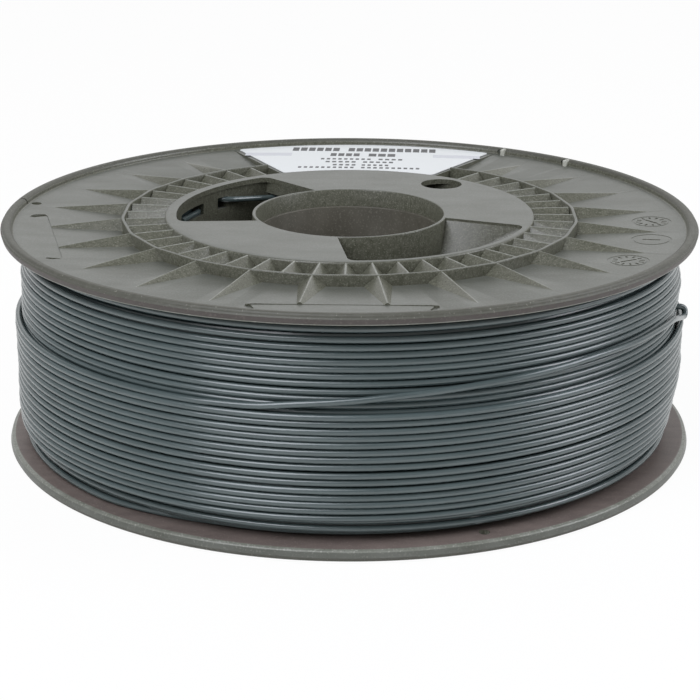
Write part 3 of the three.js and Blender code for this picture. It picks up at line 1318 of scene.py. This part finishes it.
    def panel_ends(self) -> Blank:
        """The deeper pockets at both ends of each panel.

        Returns:
            The cutting tools.
        """
        reach = (self.panel_length - self.panel_width) / 2 + self.panel_width / 4
        size = (self.panel_end_length, self.panel_end_width, -self.panel_end_depth, self.tool_rise)
        pockets = []
        for place in self.panel_places:
            for side in (-1, 1):
                at = Matrix.Translation(metres(0.0, side * reach, 0.0))
                pocket = Blank.stadium(*size).moved(turn_about_axis(90 - self.panel_end_lean * side))
                pockets.append(pocket.moved(self.on_web(*place) @ at))
        return Blank.group(pockets)

    def dial_rings(self) -> Blank:
        """The engraved circles of the three mould dials.

        Returns:
            The cutting tools.
        """
        outer = self.dial_diameter / 2
        inner = outer - self.dial_line
        profile = [
            Corner(inner, -self.dial_depth),
            Corner(outer, -self.dial_depth),
            Corner(outer, self.tool_rise),
            Corner(inner, self.tool_rise),
        ]
        return Blank.group(
            Blank.turned(profile, steps=self.dial_steps).moved(self.on_web(*place))
            for place in self.dial_places
        )

    def dial_marks(self) -> Blank:
        """The pointer inside each dial, and the ticks in all but the plain one.

        Returns:
            The cutting tools.
        """
        heights = (-self.dial_mark_depth, self.tool_rise)
        marks = []
        for index, at in enumerate(self.dial_places):
            place = self.on_web(*at)
            turn = self.dial_pointer_turn + self.dial_pointer_step * index
            pointer = Blank.stadium(*self.dial_pointer, *heights)
            marks.append(pointer.moved(place @ turn_about_axis(turn)))
            for tick in range(0 if index == self.plain_dial else self.dial_ticks):
                angle = 360 / self.dial_ticks * tick
                bar = Blank.radial_box(*self.dial_tick_reach, angle, self.dial_tick_width, *heights)
                marks.append(bar.moved(place))
        return Blank.group(marks)

    def moulding(self) -> Blank:
        """The whole moulding, outer face up at a height of 0.

        Returns:
            The moulding.
        """
        add, remove = Operation.ADD, Operation.REMOVE
        ring_cuts = [(remove, self.space(window)) for window in self.windows if window.cuts_ring]
        return self.body().worked(
            [
                *ring_cuts,
                (add, self.rib_ring()),
                (add, self.long_ribs()),
                (add, self.trough_ribs()),
                (remove, self.label_space()),
                (add, self.ramp()),
                (add, self.collar()),
                (add, self.hub_plates()),
                (add, self.plate_walls()),
                (add, self.pegs()),
                (remove, self.holes()),
                (remove, self.strand_slots()),
                (remove, self.panels()),
                (remove, self.panel_ends()),
                (remove, self.dial_rings()),
                (remove, self.dial_marks()),
            ]
        )

    def dressed(
        self, name: str, place: Matrix, finishes: Finishes, side: bpy.types.Material
    ) -> bpy.types.Object:
        """Makes a flange at its place, with each face in its own finish.

        Args:
            name: The piece's name.
            place: Where its own frame lies.
            finishes: The spool's materials.
            side: The finish of the rim's side: painted shade on the upper flange, and the plain outer
                finish on the lower, though both are one moulding.

        Returns:
            The flange.
        """
        blank = self.moulding()
        for face in blank.mesh.faces:
            face.material_index = self.area(face).value
        by_area = {
            Area.OUTER: finishes.outer,
            Area.SLOPE: finishes.slope,
            Area.WINDING_SIDE: finishes.winding_side,
            Area.EDGE: finishes.edge,
            Area.PEG: finishes.peg,
            Area.SIDE: side,
            Area.CREST: finishes.crest,
        }
        return finished(name, blank.moved(place), [by_area[area] for area in Area])

    def area(self, face: bmesh.types.BMFace) -> Area:
        """The area that a face belongs to, by where it lies and how it leans.

        Args:
            face: A face of the moulding in its own frame, in metres.

        Returns:
            Its area.
        """
        middle = face.calc_center_median() / MM
        radius, depth = middle.xy.length, -middle.z
        ledge = self.bead_depth + self.ledge_drop / 2
        on_side = radius > self.rim_radius - self.side_reach
        # Faces towards the strand take the painted bounce shade
        if face.normal.z < self.downward_share and depth > self.winding_side_depth:
            # The rim's bevel beyond bevel_inner takes the painted highlight
            return Area.WINDING_SIDE if radius < self.bevel_inner + self.area_spare else Area.CREST
        if on_side and abs(depth - ledge) < self.ledge_reach:
            return Area.EDGE
        # The rim's side below the ledge: painted shade on the upper flange
        if on_side and depth > ledge and face.normal.z < 0.0:
            return Area.SIDE
        if radius > self.lip_inner + self.area_spare and depth < self.lip_crown[0]:
            return Area.EDGE
        if self.on_peg(middle):
            return Area.PEG
        # Rib crests take the painted highlight
        if face.normal.z > self.crest_share and self.on_crest(middle):
            return Area.CREST
        # Leaning faces take the slope finish, whose olive tone is painted shade
        leaning = face.normal.z < self.level_share and radius < self.lip_inner + self.area_spare
        return Area.SLOPE if leaning else Area.OUTER

    def on_peg(self, spot: Vector) -> bool:
        """Whether a spot lies on a clip peg.

        Args:
            spot: The spot in the moulding's own frame, in millimetres.

        Returns:
            True where it does.
        """
        radius = spot.xy.length
        inner, outer = self.lip_inner - self.peg_area[0], self.lip_inner + self.peg_area[1]
        beside_peg = any(
            (spot.xy - on_circle(radius, angle).xy / MM).length < self.peg_area_share * self.peg_width
            for angle in self.peg_angles
        )
        return beside_peg and inner < radius < outer and spot.z > -self.web_edge_depth

    def on_crest(self, spot: Vector) -> bool:
        """Whether a spot lies on the crest of a rib.

        Args:
            spot: The spot in the moulding's own frame, in millimetres.

        Returns:
            True where it does.
        """
        radius = spot.xy.length
        long_rib = radius > self.rib_ring_radius
        on_ring = abs(radius - self.rib_ring_radius) < self.trough_rib_end
        if on_ring or not self.trough_inner < radius < self.rib_tip - self.crest_short:
            return False
        pitch = 360 / self.rib_count / (1 if long_rib else 2)
        turn = math.degrees(math.atan2(spot.y, spot.x)) - self.rib_phase
        aside = (turn + pitch / 2) % pitch - pitch / 2
        return abs(math.radians(aside)) * radius < self.crest


@dataclass(frozen=True)
class Hub:
    """The winding barrel and the bore sleeve between the two flanges."""

    width: float = 66.0
    barrel_inner: float = 52.8
    barrel_end: float = 5.24
    sleeve_inner: float = 26.0
    sleeve_outer: float = 27.0
    sleeve_end: float = 5.02
    slot_depth: float = 8.56
    slot_run_on: float = 0.5
    rounding: float = 0.25

    def tube(self, inner: float, outer: float, end: float) -> Blank:
        """A tube with rounded rims, as far from both outer faces.

        Args:
            inner: Radius of its bore, in millimetres.
            outer: Radius of its outside, in millimetres.
            end: How far its rims lie from the flanges' outer faces, in millimetres.

        Returns:
            The tube.
        """
        top = self.width - end
        corners = [(inner, end), (outer, end), (outer, top), (inner, top)]
        return Blank.turned([Corner(radius, z, self.rounding) for radius, z in corners])

    def barrel(self, flange: Flange) -> Blank:
        """The winding barrel, with the strand's notches in both ends.

        Args:
            flange: The flange, whose slots the notches follow.

        Returns:
            The barrel.
        """
        inner, outer = flange.hub_ring_inner, flange.barrel_outer + self.slot_run_on
        notches = []
        for angle, width in flange.slots:
            mirrored = 2 * flange.drive_hole_angle - angle
            top = Blank.radial_box(inner, outer, angle, width, self.width - self.slot_depth, self.width)
            bottom = Blank.radial_box(inner, outer, mirrored, width, 0.0, self.slot_depth)
            notches += [top, bottom]
        tube = self.tube(self.barrel_inner, flange.barrel_outer, self.barrel_end)
        return tube.worked([(Operation.REMOVE, Blank.group(notches))])

    def sleeve(self) -> Blank:
        """The tube round the spindle bore."""
        return self.tube(self.sleeve_inner, self.sleeve_outer, self.sleeve_end)


@dataclass(frozen=True)
class Bar:
    """A printed bar, by the place of its middle from the label's middle line and its half sizes."""

    across: float
    outward: float
    half_length: float
    half_height: float

    def in_blocks(self, pitch: float, gap: float) -> "list[Bar]":
        """The bar cut into even blocks.

        Args:
            pitch: About how far the blocks lie apart, in millimetres.
            gap: The gap between them, in millimetres.

        Returns:
            The blocks.
        """
        count = max(1, round(2 * self.half_length / pitch))
        step = 2 * self.half_length / count
        start = self.across - self.half_length
        return [
            Bar(start + (i + 0.5) * step, self.outward, (step - gap) / 2, self.half_height)
            for i in range(count)
        ]


@dataclass(frozen=True)
class Label:
    """The paper label on the sloping plate, printed only with plain bars in rows of blocks.

    The blocks of the dark bars and of the rules are (pitch, gap).
    """

    margin: float = 0.8
    air: float = 0.1
    thickness: float = 0.2
    corner: float = 1.5
    ink_thickness: float = 0.03
    ink_step: float = 2.0
    middle_angle: float = 87.0
    dark_bars: tuple[Bar, ...] = (
        Bar(-15.6, 86.8, 8.0, 2.8),
        Bar(9.4, 86.8, 14.6, 2.8),
        Bar(-5.6, 78.0, 5.0, 2.3),
        Bar(6.4, 78.0, 4.6, 2.3),
    )
    dark_blocks: Span = (2.7, 0.6)
    rules: tuple[Bar, ...] = (
        Bar(-5.0, 70.8, 8.4, 1.1),
        Bar(9.4, 70.8, 4.2, 1.1),
        Bar(-6.4, 66.1, 5.2, 1.1),
        Bar(5.6, 66.1, 5.2, 1.1),
        Bar(-5.0, 61.2, 4.0, 1.1),
        Bar(4.8, 61.2, 4.6, 1.1),
        Bar(-10.6, 57.0, 9.2, 1.1),
        Bar(9.8, 57.0, 9.6, 1.1),
    )
    rule_blocks: Span = (1.9, 0.8)
    pale_bars: tuple[Bar, ...] = (Bar(-30.6, 78.0, 7.6, 2.4), Bar(30.6, 78.0, 7.6, 2.4))

    def surface(self, flange: Flange, radius: float) -> float:
        """Depth of the paper's upper face at a radius."""
        return flange.ramp_depth(radius) - self.air - self.thickness

    def paper(self, flange: Flange) -> Blank:
        """The paper sector, with rounded corners.

        Args:
            flange: The flange that carries it.

        Returns:
            The paper, in the flange's own frame.
        """
        inner = flange.hub_ring_outer + self.margin
        outer = flange.web_edge - self.margin
        side = math.degrees(self.margin / flange.hub_ring_outer)
        start, end = flange.label_angles[0] + side, flange.label_angles[1] - side
        blank = Blank.turned(
            [
                Corner(inner, -self.surface(flange, inner) - self.thickness),
                Corner(outer, -self.surface(flange, outer) - self.thickness),
                Corner(outer, -self.surface(flange, outer)),
                Corner(inner, -self.surface(flange, inner)),
            ],
            start=start,
            end=end,
        )
        tips = [on_circle(radius, angle) for radius in (inner, outer) for angle in (start, end)]
        corners = [
            edge
            for edge in blank.mesh.edges
            if any(all((vert.co.xy - tip.xy).length < NEAR for vert in edge.verts) for tip in tips)
        ]
        return blank.rounded(corners, self.corner, Blank.CORNER_SEGMENTS)

    def printed(self, flange: Flange, bar: Bar) -> Blank:
        """One bar of ink, laid on the paper.

        Args:
            flange: The flange that carries the label.
            bar: The bar.

        Returns:
            The ink, in the flange's own frame.
        """
        blank = Blank()
        steps = max(2, round(bar.half_length / self.ink_step))
        bmesh.ops.create_grid(blank.mesh, x_segments=steps, y_segments=2, size=0.5)
        size = Matrix.Diagonal(metres(2 * bar.half_length, 2 * bar.half_height, 1.0).to_4d())
        at = Matrix.Translation(metres(bar.across, bar.outward, 0))
        blank.moved(turn_about_axis(self.middle_angle - 90) @ at @ size)
        ink = self.ink_thickness
        for vert in blank.mesh.verts:
            vert.co.z = (-self.surface(flange, vert.co.xy.length / MM) + ink) * MM
        bmesh.ops.solidify(blank.mesh, geom=blank.mesh.faces[:], thickness=ink * MM)
        return blank.outward()

    def dark_print(self, flange: Flange) -> Blank:
        """The rows of dark blocks.

        Args:
            flange: The flange that carries the label.

        Returns:
            The ink.
        """
        blocks = [block for bar in self.dark_bars for block in bar.in_blocks(*self.dark_blocks)]
        blocks += [block for bar in self.rules for block in bar.in_blocks(*self.rule_blocks)]
        return Blank.group(self.printed(flange, block) for block in blocks)

    def pale_print(self, flange: Flange) -> Blank:
        """The two pale boxes."""
        return Blank.group(self.printed(flange, bar) for bar in self.pale_bars)


@dataclass(frozen=True)
class Strand:
    """A strand of filament along a way, as a closed round tube."""

    diameter: float = 1.75

    def tube(self, name: str, ways: Sequence[Sequence[Vector]], sides: int = 16) -> Blank:
        """Sweeps the strand's round section along one or more ways, in metres.

        Args:
            name: A name for the working curve.
            ways: The points of each way.
            sides: Flats round the section, an even number.

        Returns:
            The tubes, with closed ends.
        """
        curve = bpy.data.curves.new(name, "CURVE")
        curve.dimensions = "3D"
        curve.bevel_depth = self.diameter / 2 * MM
        curve.bevel_resolution = sides // 2 - 2  # a section has four sides and two for each of these
        curve.use_fill_caps = True
        curve.twist_mode = "Z_UP"
        for way in ways:
            spline = curve.splines.new("POLY")
            spline.points.add(len(way) - 1)
            for point, at in zip(spline.points, way):
                point.co = (*at, 1.0)
        item = bpy.data.objects.new(name, curve)
        bpy.context.scene.collection.objects.link(item)
        shaped = item.evaluated_get(bpy.context.evaluated_depsgraph_get())
        blank = Blank()
        blank.mesh.from_mesh(shaped.to_mesh())
        bpy.data.objects.remove(item)
        bpy.data.curves.remove(curve)
        bmesh.ops.remove_doubles(blank.mesh, verts=blank.mesh.verts[:], dist=NEAR)
        return blank.outward()


class Wander:
    """A smooth value that wanders between seeded knots, one knot for each step of its way."""

    KNOTS = 400

    def __init__(self, seed: int, step: float, shape: Callable[[float], float]) -> None:
        """Starts the value.

        Args:
            seed: The seed of its knots.
            step: Turns from one knot to the next.
            shape: Maps a random share from 0 to 1 onto a knot's value.
        """
        source = random.Random(seed)
        self.step = step
        self.knots = [shape(source.random()) for _ in range(self.KNOTS)]

    def at(self, turn: float) -> float:
        """The value at a place.

        Args:
            turn: The place, in turns from the start.

        Returns:
            The value between the two nearest knots.
        """
        place = turn / self.step
        index = int(place)
        share = place - index
        ease = share * share * (3 - 2 * share)
        return self.knots[index] * (1 - ease) + self.knots[index + 1] * ease


class Handed(Enum):
    """The way a layer turns about the axis as it rises, seen from above."""

    ANTICLOCKWISE = 1
    CLOCKWISE = -1


@dataclass(frozen=True)
class Hollow:
    """A stretch of the winding that lies deeper, or stands prouder where its depth is negative.

    It fades round the axis by its spread, in degrees, and up and down by its reach.
    """

    angle: float
    spread: float
    height: float
    reach: float
    depth: float

    def at(self, angle: float, height: float) -> float:
        """How much deeper the winding lies at a place.

        Args:
            angle: The place's angle, in degrees.
            height: Its height, in millimetres.

        Returns:
            The depth in millimetres, which fades with distance from the hollow's middle.
        """
        aside = ((angle - self.angle + 180) % 360 - 180) / self.spread
        above = (height - self.height) / self.reach
        return self.depth * math.exp(-(aside**2) - above**2)


@dataclass(frozen=True)
class Layer:
    """One wound layer: a helix whose turns lie a strand's width apart, with small uneven gaps.

    A parting is (height, gap): a place where neighbouring turns stand further apart. All gaps are
    shares of the height that the turns leave over. The strand starts deeper by the lead-in, and
    climbs out of it in one turn divided by the lead-in's rate.
    """

    radius: float
    bottom: float
    top: float
    end_angle: float
    turns: float
    seed: int
    handed: Handed = Handed.ANTICLOCKWISE
    partings: tuple[Span, ...] = ()
    parting_sharpness: float = 3.0
    hollows: tuple[Hollow, ...] = ()
    gap_step: float = 0.45
    least_gap: float = 0.02
    gap_power: float = 6.0
    swell: float = 0.17
    swell_step: float = 0.31
    lead_in: float = 0.0
    lead_in_rate: float = 16.0
    steps: int = 120

    def heights(self) -> list[float]:
        """The strand's height after each step of its way.

        Returns:
            The heights in millimetres, from the layer's bottom up.
        """
        wander = Wander(self.seed, self.gap_step, lambda share: self.least_gap + share**self.gap_power)
        pitch = (self.top - self.bottom) / self.turns
        gaps = []
        for i in range(round(self.turns * self.steps)):
            turn = i / self.steps
            height = self.bottom + turn * pitch
            parted = sum(
                gap * math.exp(-(((height - at) / pitch) ** 2) * self.parting_sharpness)
                for at, gap in self.partings
            )
            gaps.append(wander.at(turn) + parted)
        spare = self.top - self.bottom - self.turns * Strand.diameter
        share = spare * self.steps / sum(gaps)
        heights = [self.bottom]
        for gap in gaps:
            heights.append(heights[-1] + (Strand.diameter + gap * share) / self.steps)
        return heights

    def way(self) -> list[Vector]:
        """The strand's way round the axis.

        Returns:
            Its points in metres.
        """
        heights = self.heights()
        wander = Wander(self.seed + 1, self.swell_step, lambda share: (2 * share - 1) * self.swell)
        way = []
        for i, height in enumerate(heights):
            turn = i / self.steps
            angle = self.end_angle - self.handed.value * 360 * (self.turns - turn)
            sink = sum(hollow.at(angle, height) for hollow in self.hollows)
            sink += self.lead_in * max(0.0, 1 - self.lead_in_rate * turn)
            way.append(on_circle(self.radius - sink + wander.at(turn), angle, height))
        return way


def smooth_way(points: Sequence[Vector], steps: int) -> list[Vector]:
    """A smooth way through points, with a Catmull-Rom curve between each two.

    Args:
        points: The points in metres.
        steps: Pieces between two points.

    Returns:
        The points of the way.
    """
    padded = [2 * points[0] - points[1], *points, 2 * points[-1] - points[-2]]
    way = []
    for before, start, end, after in zip(padded, padded[1:], padded[2:], padded[3:]):
        slope, bend = end - before, 2 * before - 5 * start + 4 * end - after
        twist = 3 * start - 3 * end + after - before
        for t in (step / steps for step in range(steps)):
            way.append(0.5 * (2 * start + slope * t + bend * t**2 + twist * t**3))
    return [*way, points[-1]]


RIGHT_FOOT = Hollow(-9.0, 50.0, 11.0, 9.0, 1.9)  # low at the right, every layer lies deeper


@dataclass(frozen=True)
class Winding:
    """The strand as it is wound: the last layer, the layers under it, and both free ends.

    A free end's way is a list of (radius, angle, height).
    """

    last: Layer = Layer(
        radius=96.1,
        bottom=9.3,
        top=39.5,
        end_angle=-113.0,
        turns=15.55,
        seed=11,
        partings=((18.7, 0.5), (28.6, 0.35), (34.0, 0.2)),
        hollows=(Hollow(-90.0, 400.0, 9.5, 3.0, 0.4), RIGHT_FOOT),
    )
    below: Layer = Layer(
        radius=94.1,
        bottom=4.5,
        top=61.7,
        end_angle=106.0,
        turns=29.4,
        seed=23,
        handed=Handed.CLOCKWISE,
        partings=((6.4, 0.5), (46.1, 0.3), (48.2, 0.3), (59.2, 0.5), (60.8, 0.6)),
        lead_in=4.0,
        hollows=(
            RIGHT_FOOT,
            Hollow(-9.0, 22.0, 49.0, 3.5, -0.9),
            Hollow(-171.0, 22.0, 56.0, 3.0, 0.6),
        ),
    )
    under: Layer = Layer(
        radius=92.2,
        bottom=5.0,
        top=61.2,
        end_angle=40.0,
        turns=28.6,
        seed=37,
        hollows=(RIGHT_FOOT,),
        steps=90,
    )
    under_sides: int = 8
    free_end: tuple[Spot, ...] = (
        (96.1, -105.0, 39.9),
        (96.15, -98.7, 41.0),
        (96.15, -90.0, 42.2),
        (96.1, -82.0, 43.4),
        (96.1, -75.0, 44.2),
        (96.05, -65.0, 45.0),
        (96.0, -56.0, 45.6),
        (96.05, -48.0, 46.1),
        (96.1, -40.0, 45.9),
        (96.1, -34.0, 45.6),
        (96.0, -26.0, 45.0),
        (95.9, -20.0, 43.9),
        (96.1, -14.5, 41.7),
        (96.6, -11.4, 40.4),
        (97.2, -9.8, 40.0),
        (97.35, -9.2, 40.8),
        (97.1, -9.0, 41.7),
        (96.4, -9.0, 42.2),
        (95.4, -9.2, 42.4),
        (94.4, -9.4, 42.4),
    )
    free_end_steps: int = 10
    inner_end: tuple[Spot, ...] = (
        (54.6, 140.0, 61.5),
        (51.4, 139.2, 61.2),
        (49.8, 136.6, 61.0),
        (49.0, 132.0, 60.6),
        (48.6, 126.0, 60.1),
        (48.3, 118.0, 59.6),
        (48.0, 110.0, 59.2),
        (48.0, 103.0, 58.9),
        (48.0, 97.0, 58.7),
    )
    slot_strand: tuple[Spot, ...] = (
        (55.2, 143.0, 60.0),
        (53.6, 148.0, 59.6),
        (52.2, 151.6, 59.4),
        (51.4, 158.7, 59.6),
        (50.9, 165.0, 60.1),
        (50.6, 168.6, 60.4),
    )
    inner_end_steps: int = 8
    core_radius: float = 91.2
    core_inner: float = 54.6
    core_ends: Span = (4.4, 61.7)
    core_slope: float = 0.6
    core_rounding: float = 0.5
    core_steps: int = 120

    def last_way(self) -> list[Vector]:
        """The last layer's way, on to its free end.

        Returns:
            Its points in metres.
        """
        wound = self.last.way()
        free = [on_circle(*spot) for spot in self.free_end]
        return wound[:-1] + smooth_way([wound[-1], *free], self.free_end_steps)

    def inner_ways(self) -> list[list[Vector]]:
        """The ways of the inner end and of the strand in the other slot.

        Returns:
            The points of each in metres.
        """
        return [
            smooth_way([on_circle(*spot) for spot in spots], self.inner_end_steps)
            for spots in (self.inner_end, self.slot_strand)
        ]

    def core(self) -> Blank:
        """The hidden layers, as a plain ring that fills the space under the strands.

        Returns:
            The ring.
        """
        low, high = self.core_ends
        return Blank.turned(
            [
                Corner(self.core_inner, low + self.core_slope),
                Corner(self.core_radius, low, self.core_rounding),
                Corner(self.core_radius, high, self.core_rounding),
                Corner(self.core_inner, high - self.core_slope),
            ],
            steps=self.core_steps,
        )


def turned_towards(aim: Spot, place: Spot) -> Quaternion:
    """The turn that points a camera or a light from its place at an aim, both in metres."""
    return (Vector(aim) - Vector(place)).to_track_quat("-Z", "Y")


@dataclass(frozen=True)
class SoftBox:
    """A soft studio light, with its place, size and aim in metres and its power in watts."""

    name: str
    place: Spot
    width: float
    height: float
    power: float
    tint: Colour = (244, 246, 255)
    aim: Spot = (0.0, 0.0, 0.03)

    def set_up(self) -> None:
        """Makes the light."""
        data = bpy.data.lights.new(self.name, "AREA")
        data.shape = "RECTANGLE"
        data.size = self.width
        data.size_y = self.height
        data.energy = self.power
        data.color = linear(self.tint)[:3]
        lamp = bpy.data.objects.new(self.name, data)
        bpy.context.scene.collection.objects.link(lamp)
        lamp.location = self.place
        lamp.rotation_euler = turned_towards(self.aim, self.place).to_euler()
        log.info("light %s at %s", self.name, self.place)


@dataclass(frozen=True)
class Studio:
    """The camera, the pale floor, the world and the soft lights.

    Places and sizes are in metres, and the floor's gap under the spool is in millimetres. The
    room's glow grows from the camera's side to the back over its turn, and leans to the right. Foot
    and top are factors of that glow, between heights that are the upward part of a direction. The
    horizon's glow is the least that the room sends from its heights.
    """

    camera_place: Spot = (0.0, -0.57633, 0.21499)
    camera_aim: Spot = (0.0, 0.0, 0.02385)
    camera_roll: float = 0.182
    lens: float = 105.42
    sensor_width: float = 36.0
    shift: float = 0.00116
    near_clip: float = 0.01
    floor_size: float = 12.0
    floor_gap: float = 0.2
    floor_shade: Colour = (243, 243, 243)
    floor_speckle: Colour = (245, 245, 245)
    floor_speckle_scale: float = 40.0
    floor_roughness: float = 0.8
    floor_glow: float = 0.95
    room_shade: Colour = (255, 255, 255)
    room_glow: Span = (0.24, 0.95)
    room_turn: Span = (0.2, 1.15)
    room_lean: float = 0.15
    foot_glow: Span = (0.4, 1.42)
    foot_heights: Span = (0.0, 0.3)
    top_glow: Span = (1.0, 0.5)
    top_heights: Span = (0.5, 0.95)
    horizon_glow: Span = (0.37, 0.0)
    horizon_heights: Span = (0.2, 0.5)
    lights: tuple[SoftBox, ...] = (
        SoftBox("left_softbox", (-0.438, -0.604, 0.94), 0.64, 1.1, 11.8),
        SoftBox("right_softbox", (1.031, -0.09, 0.7), 0.62, 0.8, 7.5),
    )

    def set_up(self) -> None:
        """Makes everything round the spool."""
        self.add_camera()
        self.add_floor()
        self.add_world()
        for light in self.lights:
            light.set_up()
        bpy.context.scene.view_settings.view_transform = "Standard"

    def add_camera(self) -> None:
        """The camera, at the viewing angle of the photograph."""
        data = bpy.data.cameras.new("camera")
        data.lens = self.lens
        data.sensor_width = self.sensor_width
        data.shift_x = self.shift
        data.clip_start = self.near_clip
        camera = bpy.data.objects.new("camera", data)
        bpy.context.scene.collection.objects.link(camera)
        camera.location = self.camera_place
        roll = Quaternion(UPWARD, math.radians(self.camera_roll))
        camera.rotation_euler = (turned_towards(self.camera_aim, self.camera_place) @ roll).to_euler()
        bpy.context.scene.camera = camera

    def add_floor(self) -> None:
        """A pale floor that looks white to the camera and keeps the spool's shadow."""
        plane = Blank()
        bmesh.ops.create_grid(plane.mesh, x_segments=1, y_segments=1, size=self.floor_size / 2)
        plane.moved(Matrix.Translation(metres(0, 0, -self.floor_gap)))
        sheet = Sheet("studio_floor")
        speckle = sheet.ranged(sheet.noise(self.floor_speckle_scale))
        sheet.coloured(speckle, self.floor_shade, self.floor_speckle)
        sheet.shader.inputs["Roughness"].default_value = self.floor_roughness
        glow = sheet.add("ShaderNodeEmission")
        white = sheet.add("ShaderNodeMixShader")
        share = sheet.combined(Joining.PRODUCT, self.seen_rays(sheet), self.floor_glow)
        sheet.join(share, white.inputs["Fac"])
        sheet.join(sheet.shader.outputs["BSDF"], white.inputs[1])
        sheet.join(glow.outputs["Emission"], white.inputs[2])
        sheet.join(white.outputs["Shader"], sheet.output.inputs["Surface"])
        finished("studio_floor", plane, [sheet.material])

    def seen_rays(self, sheet: Sheet) -> Socket:
        """Tells the rays that see the floor as white from those that only light it.

        Args:
            sheet: The floor's nodes.

        Returns:
            1 for camera, glossy and transmission rays, and 0 for the rest.
        """
        rays = sheet.add("ShaderNodeLightPath")
        seen = rays.outputs["Is Camera Ray"]
        for name in ("Is Glossy Ray", "Is Transmission Ray"):
            seen = sheet.combined(Joining.GREATER, seen, rays.outputs[name])
        return seen

    def add_world(self) -> None:
        """A white backdrop, and a room that is dimmer on the camera's side."""
        world = bpy.data.worlds.new("studio_room")
        world.use_nodes = True
        bpy.context.scene.world = world
        room = Nodes(world.node_tree)
        output = room.add("ShaderNodeOutputWorld")
        light = room.add("ShaderNodeBackground")
        light.inputs["Color"].default_value = linear(self.room_shade)
        room.join(light.outputs["Background"], output.inputs["Surface"])
        split = room.add("ShaderNodeSeparateXYZ")
        room.join(room.add("ShaderNodeTexCoord").outputs["Generated"], split.inputs["Vector"])
        height = split.outputs["Z"]
        lean = room.combined(Joining.PRODUCT, split.outputs["X"], self.room_lean)
        depth = room.combined(Joining.SUM, split.outputs["Y"], lean)
        wall = room.ranged(depth, self.room_glow, self.room_turn, Easing.SMOOTH)
        foot = room.ranged(height, self.foot_glow, self.foot_heights, Easing.SMOOTH)
        top = room.ranged(height, self.top_glow, self.top_heights, Easing.SMOOTH)
        low = room.ranged(height, self.horizon_glow, self.horizon_heights, Easing.SMOOTH)
        for factor in (foot, top):
            wall = room.combined(Joining.PRODUCT, wall, factor)
        rays = room.add("ShaderNodeLightPath")
        for least in (low, rays.outputs["Is Camera Ray"]):
            wall = room.combined(Joining.GREATER, wall, least)
        room.join(wall, light.inputs["Strength"])


@dataclass(frozen=True)
class Spool:
    """The whole spool: two flanges, barrel, sleeve, label and strand, with their materials."""

    finishes: Finishes
    flange: Flange = Flange()
    hub: Hub = Hub()
    label: Label = Label()
    winding: Winding = Winding()
    strand: Strand = Strand()

    @property
    def upper_place(self) -> Matrix:
        """Where the upper flange's own frame lies."""
        return Matrix.Translation(metres(0, 0, self.hub.width))

    @property
    def lower_place(self) -> Matrix:
        """The half turn that lays the same moulding outer face down."""
        axis = on_circle(1 / MM, self.flange.drive_hole_angle)
        return Matrix.Rotation(math.pi, 4, axis)

    def add_flanges(self) -> None:
        """Both flanges, from the same moulding."""
        flange, made = self.flange, self.finishes
        # The upper flange's rim side takes the painted shade, and the lower one's the plain outer
        # finish
        upper = flange.dressed("spool_upper_flange", self.upper_place, made, made.side)
        seated(upper, "flange_plastic", "upper_flange")
        lower = flange.dressed("spool_lower_flange", self.lower_place, made, made.outer)
        seated(lower, "flange_plastic", "lower_flange")

    def add_hub(self) -> None:
        """The winding barrel and the bore sleeve."""
        finish = [self.finishes.hub]
        barrel = finished("spool_winding_barrel", self.hub.barrel(self.flange), finish)
        seated(barrel, "hub_plastic", "winding_barrel")
        sleeve = finished("spool_bore_sleeve", self.hub.sleeve(), finish)
        seated(sleeve, "hub_plastic", "bore_sleeve")

    def add_label(self) -> None:
        """The paper and its plain print."""
        label, flange, up, made = self.label, self.flange, self.upper_place, self.finishes
        paper = finished("label_sheet", label.paper(flange).moved(up), [made.paper])
        seated(paper, "label_paper", "label")
        dark = finished("label_dark_bars", label.dark_print(flange).moved(up), [made.ink])
        seated(dark, "label_paper")
        pale = finished("label_pale_bars", label.pale_print(flange).moved(up), [made.pale_ink])
        seated(pale, "label_paper")

    def add_winding(self) -> None:
        """The strand's layers, its ends and the plain core under them."""
        winding, finish = self.winding, [self.finishes.strand]
        last = self.strand.tube("last", [winding.last_way()])
        seated(finished("strand_last_layer", last, finish), "filament", "filament_last_layer")
        below = self.strand.tube("below", [winding.below.way()])
        seated(finished("strand_layer_below", below, finish), "filament", "filament_layer_below")
        under = self.strand.tube("under", [winding.under.way()], winding.under_sides)
        seated(finished("strand_hidden_layer", under, finish), "filament")
        core = finished("strand_core", winding.core(), finish)
        seated(core, "filament", "filament_inner_layers")
        inner = self.strand.tube("inner", winding.inner_ways())
        seated(finished("strand_inner_end", inner, finish), "filament", "filament_anchor_end")


def main() -> None:
    """Builds the spool and the studio, in order."""
    logging.basicConfig(level=logging.INFO, format="%(name)s: %(message)s")
    spool = Spool(Finishes.made())
    spool.add_flanges()
    spool.add_hub()
    spool.add_label()
    spool.add_winding()
    Studio().set_up()
    bpy.context.view_layer.update()


if __name__ == "__main__":
    main()
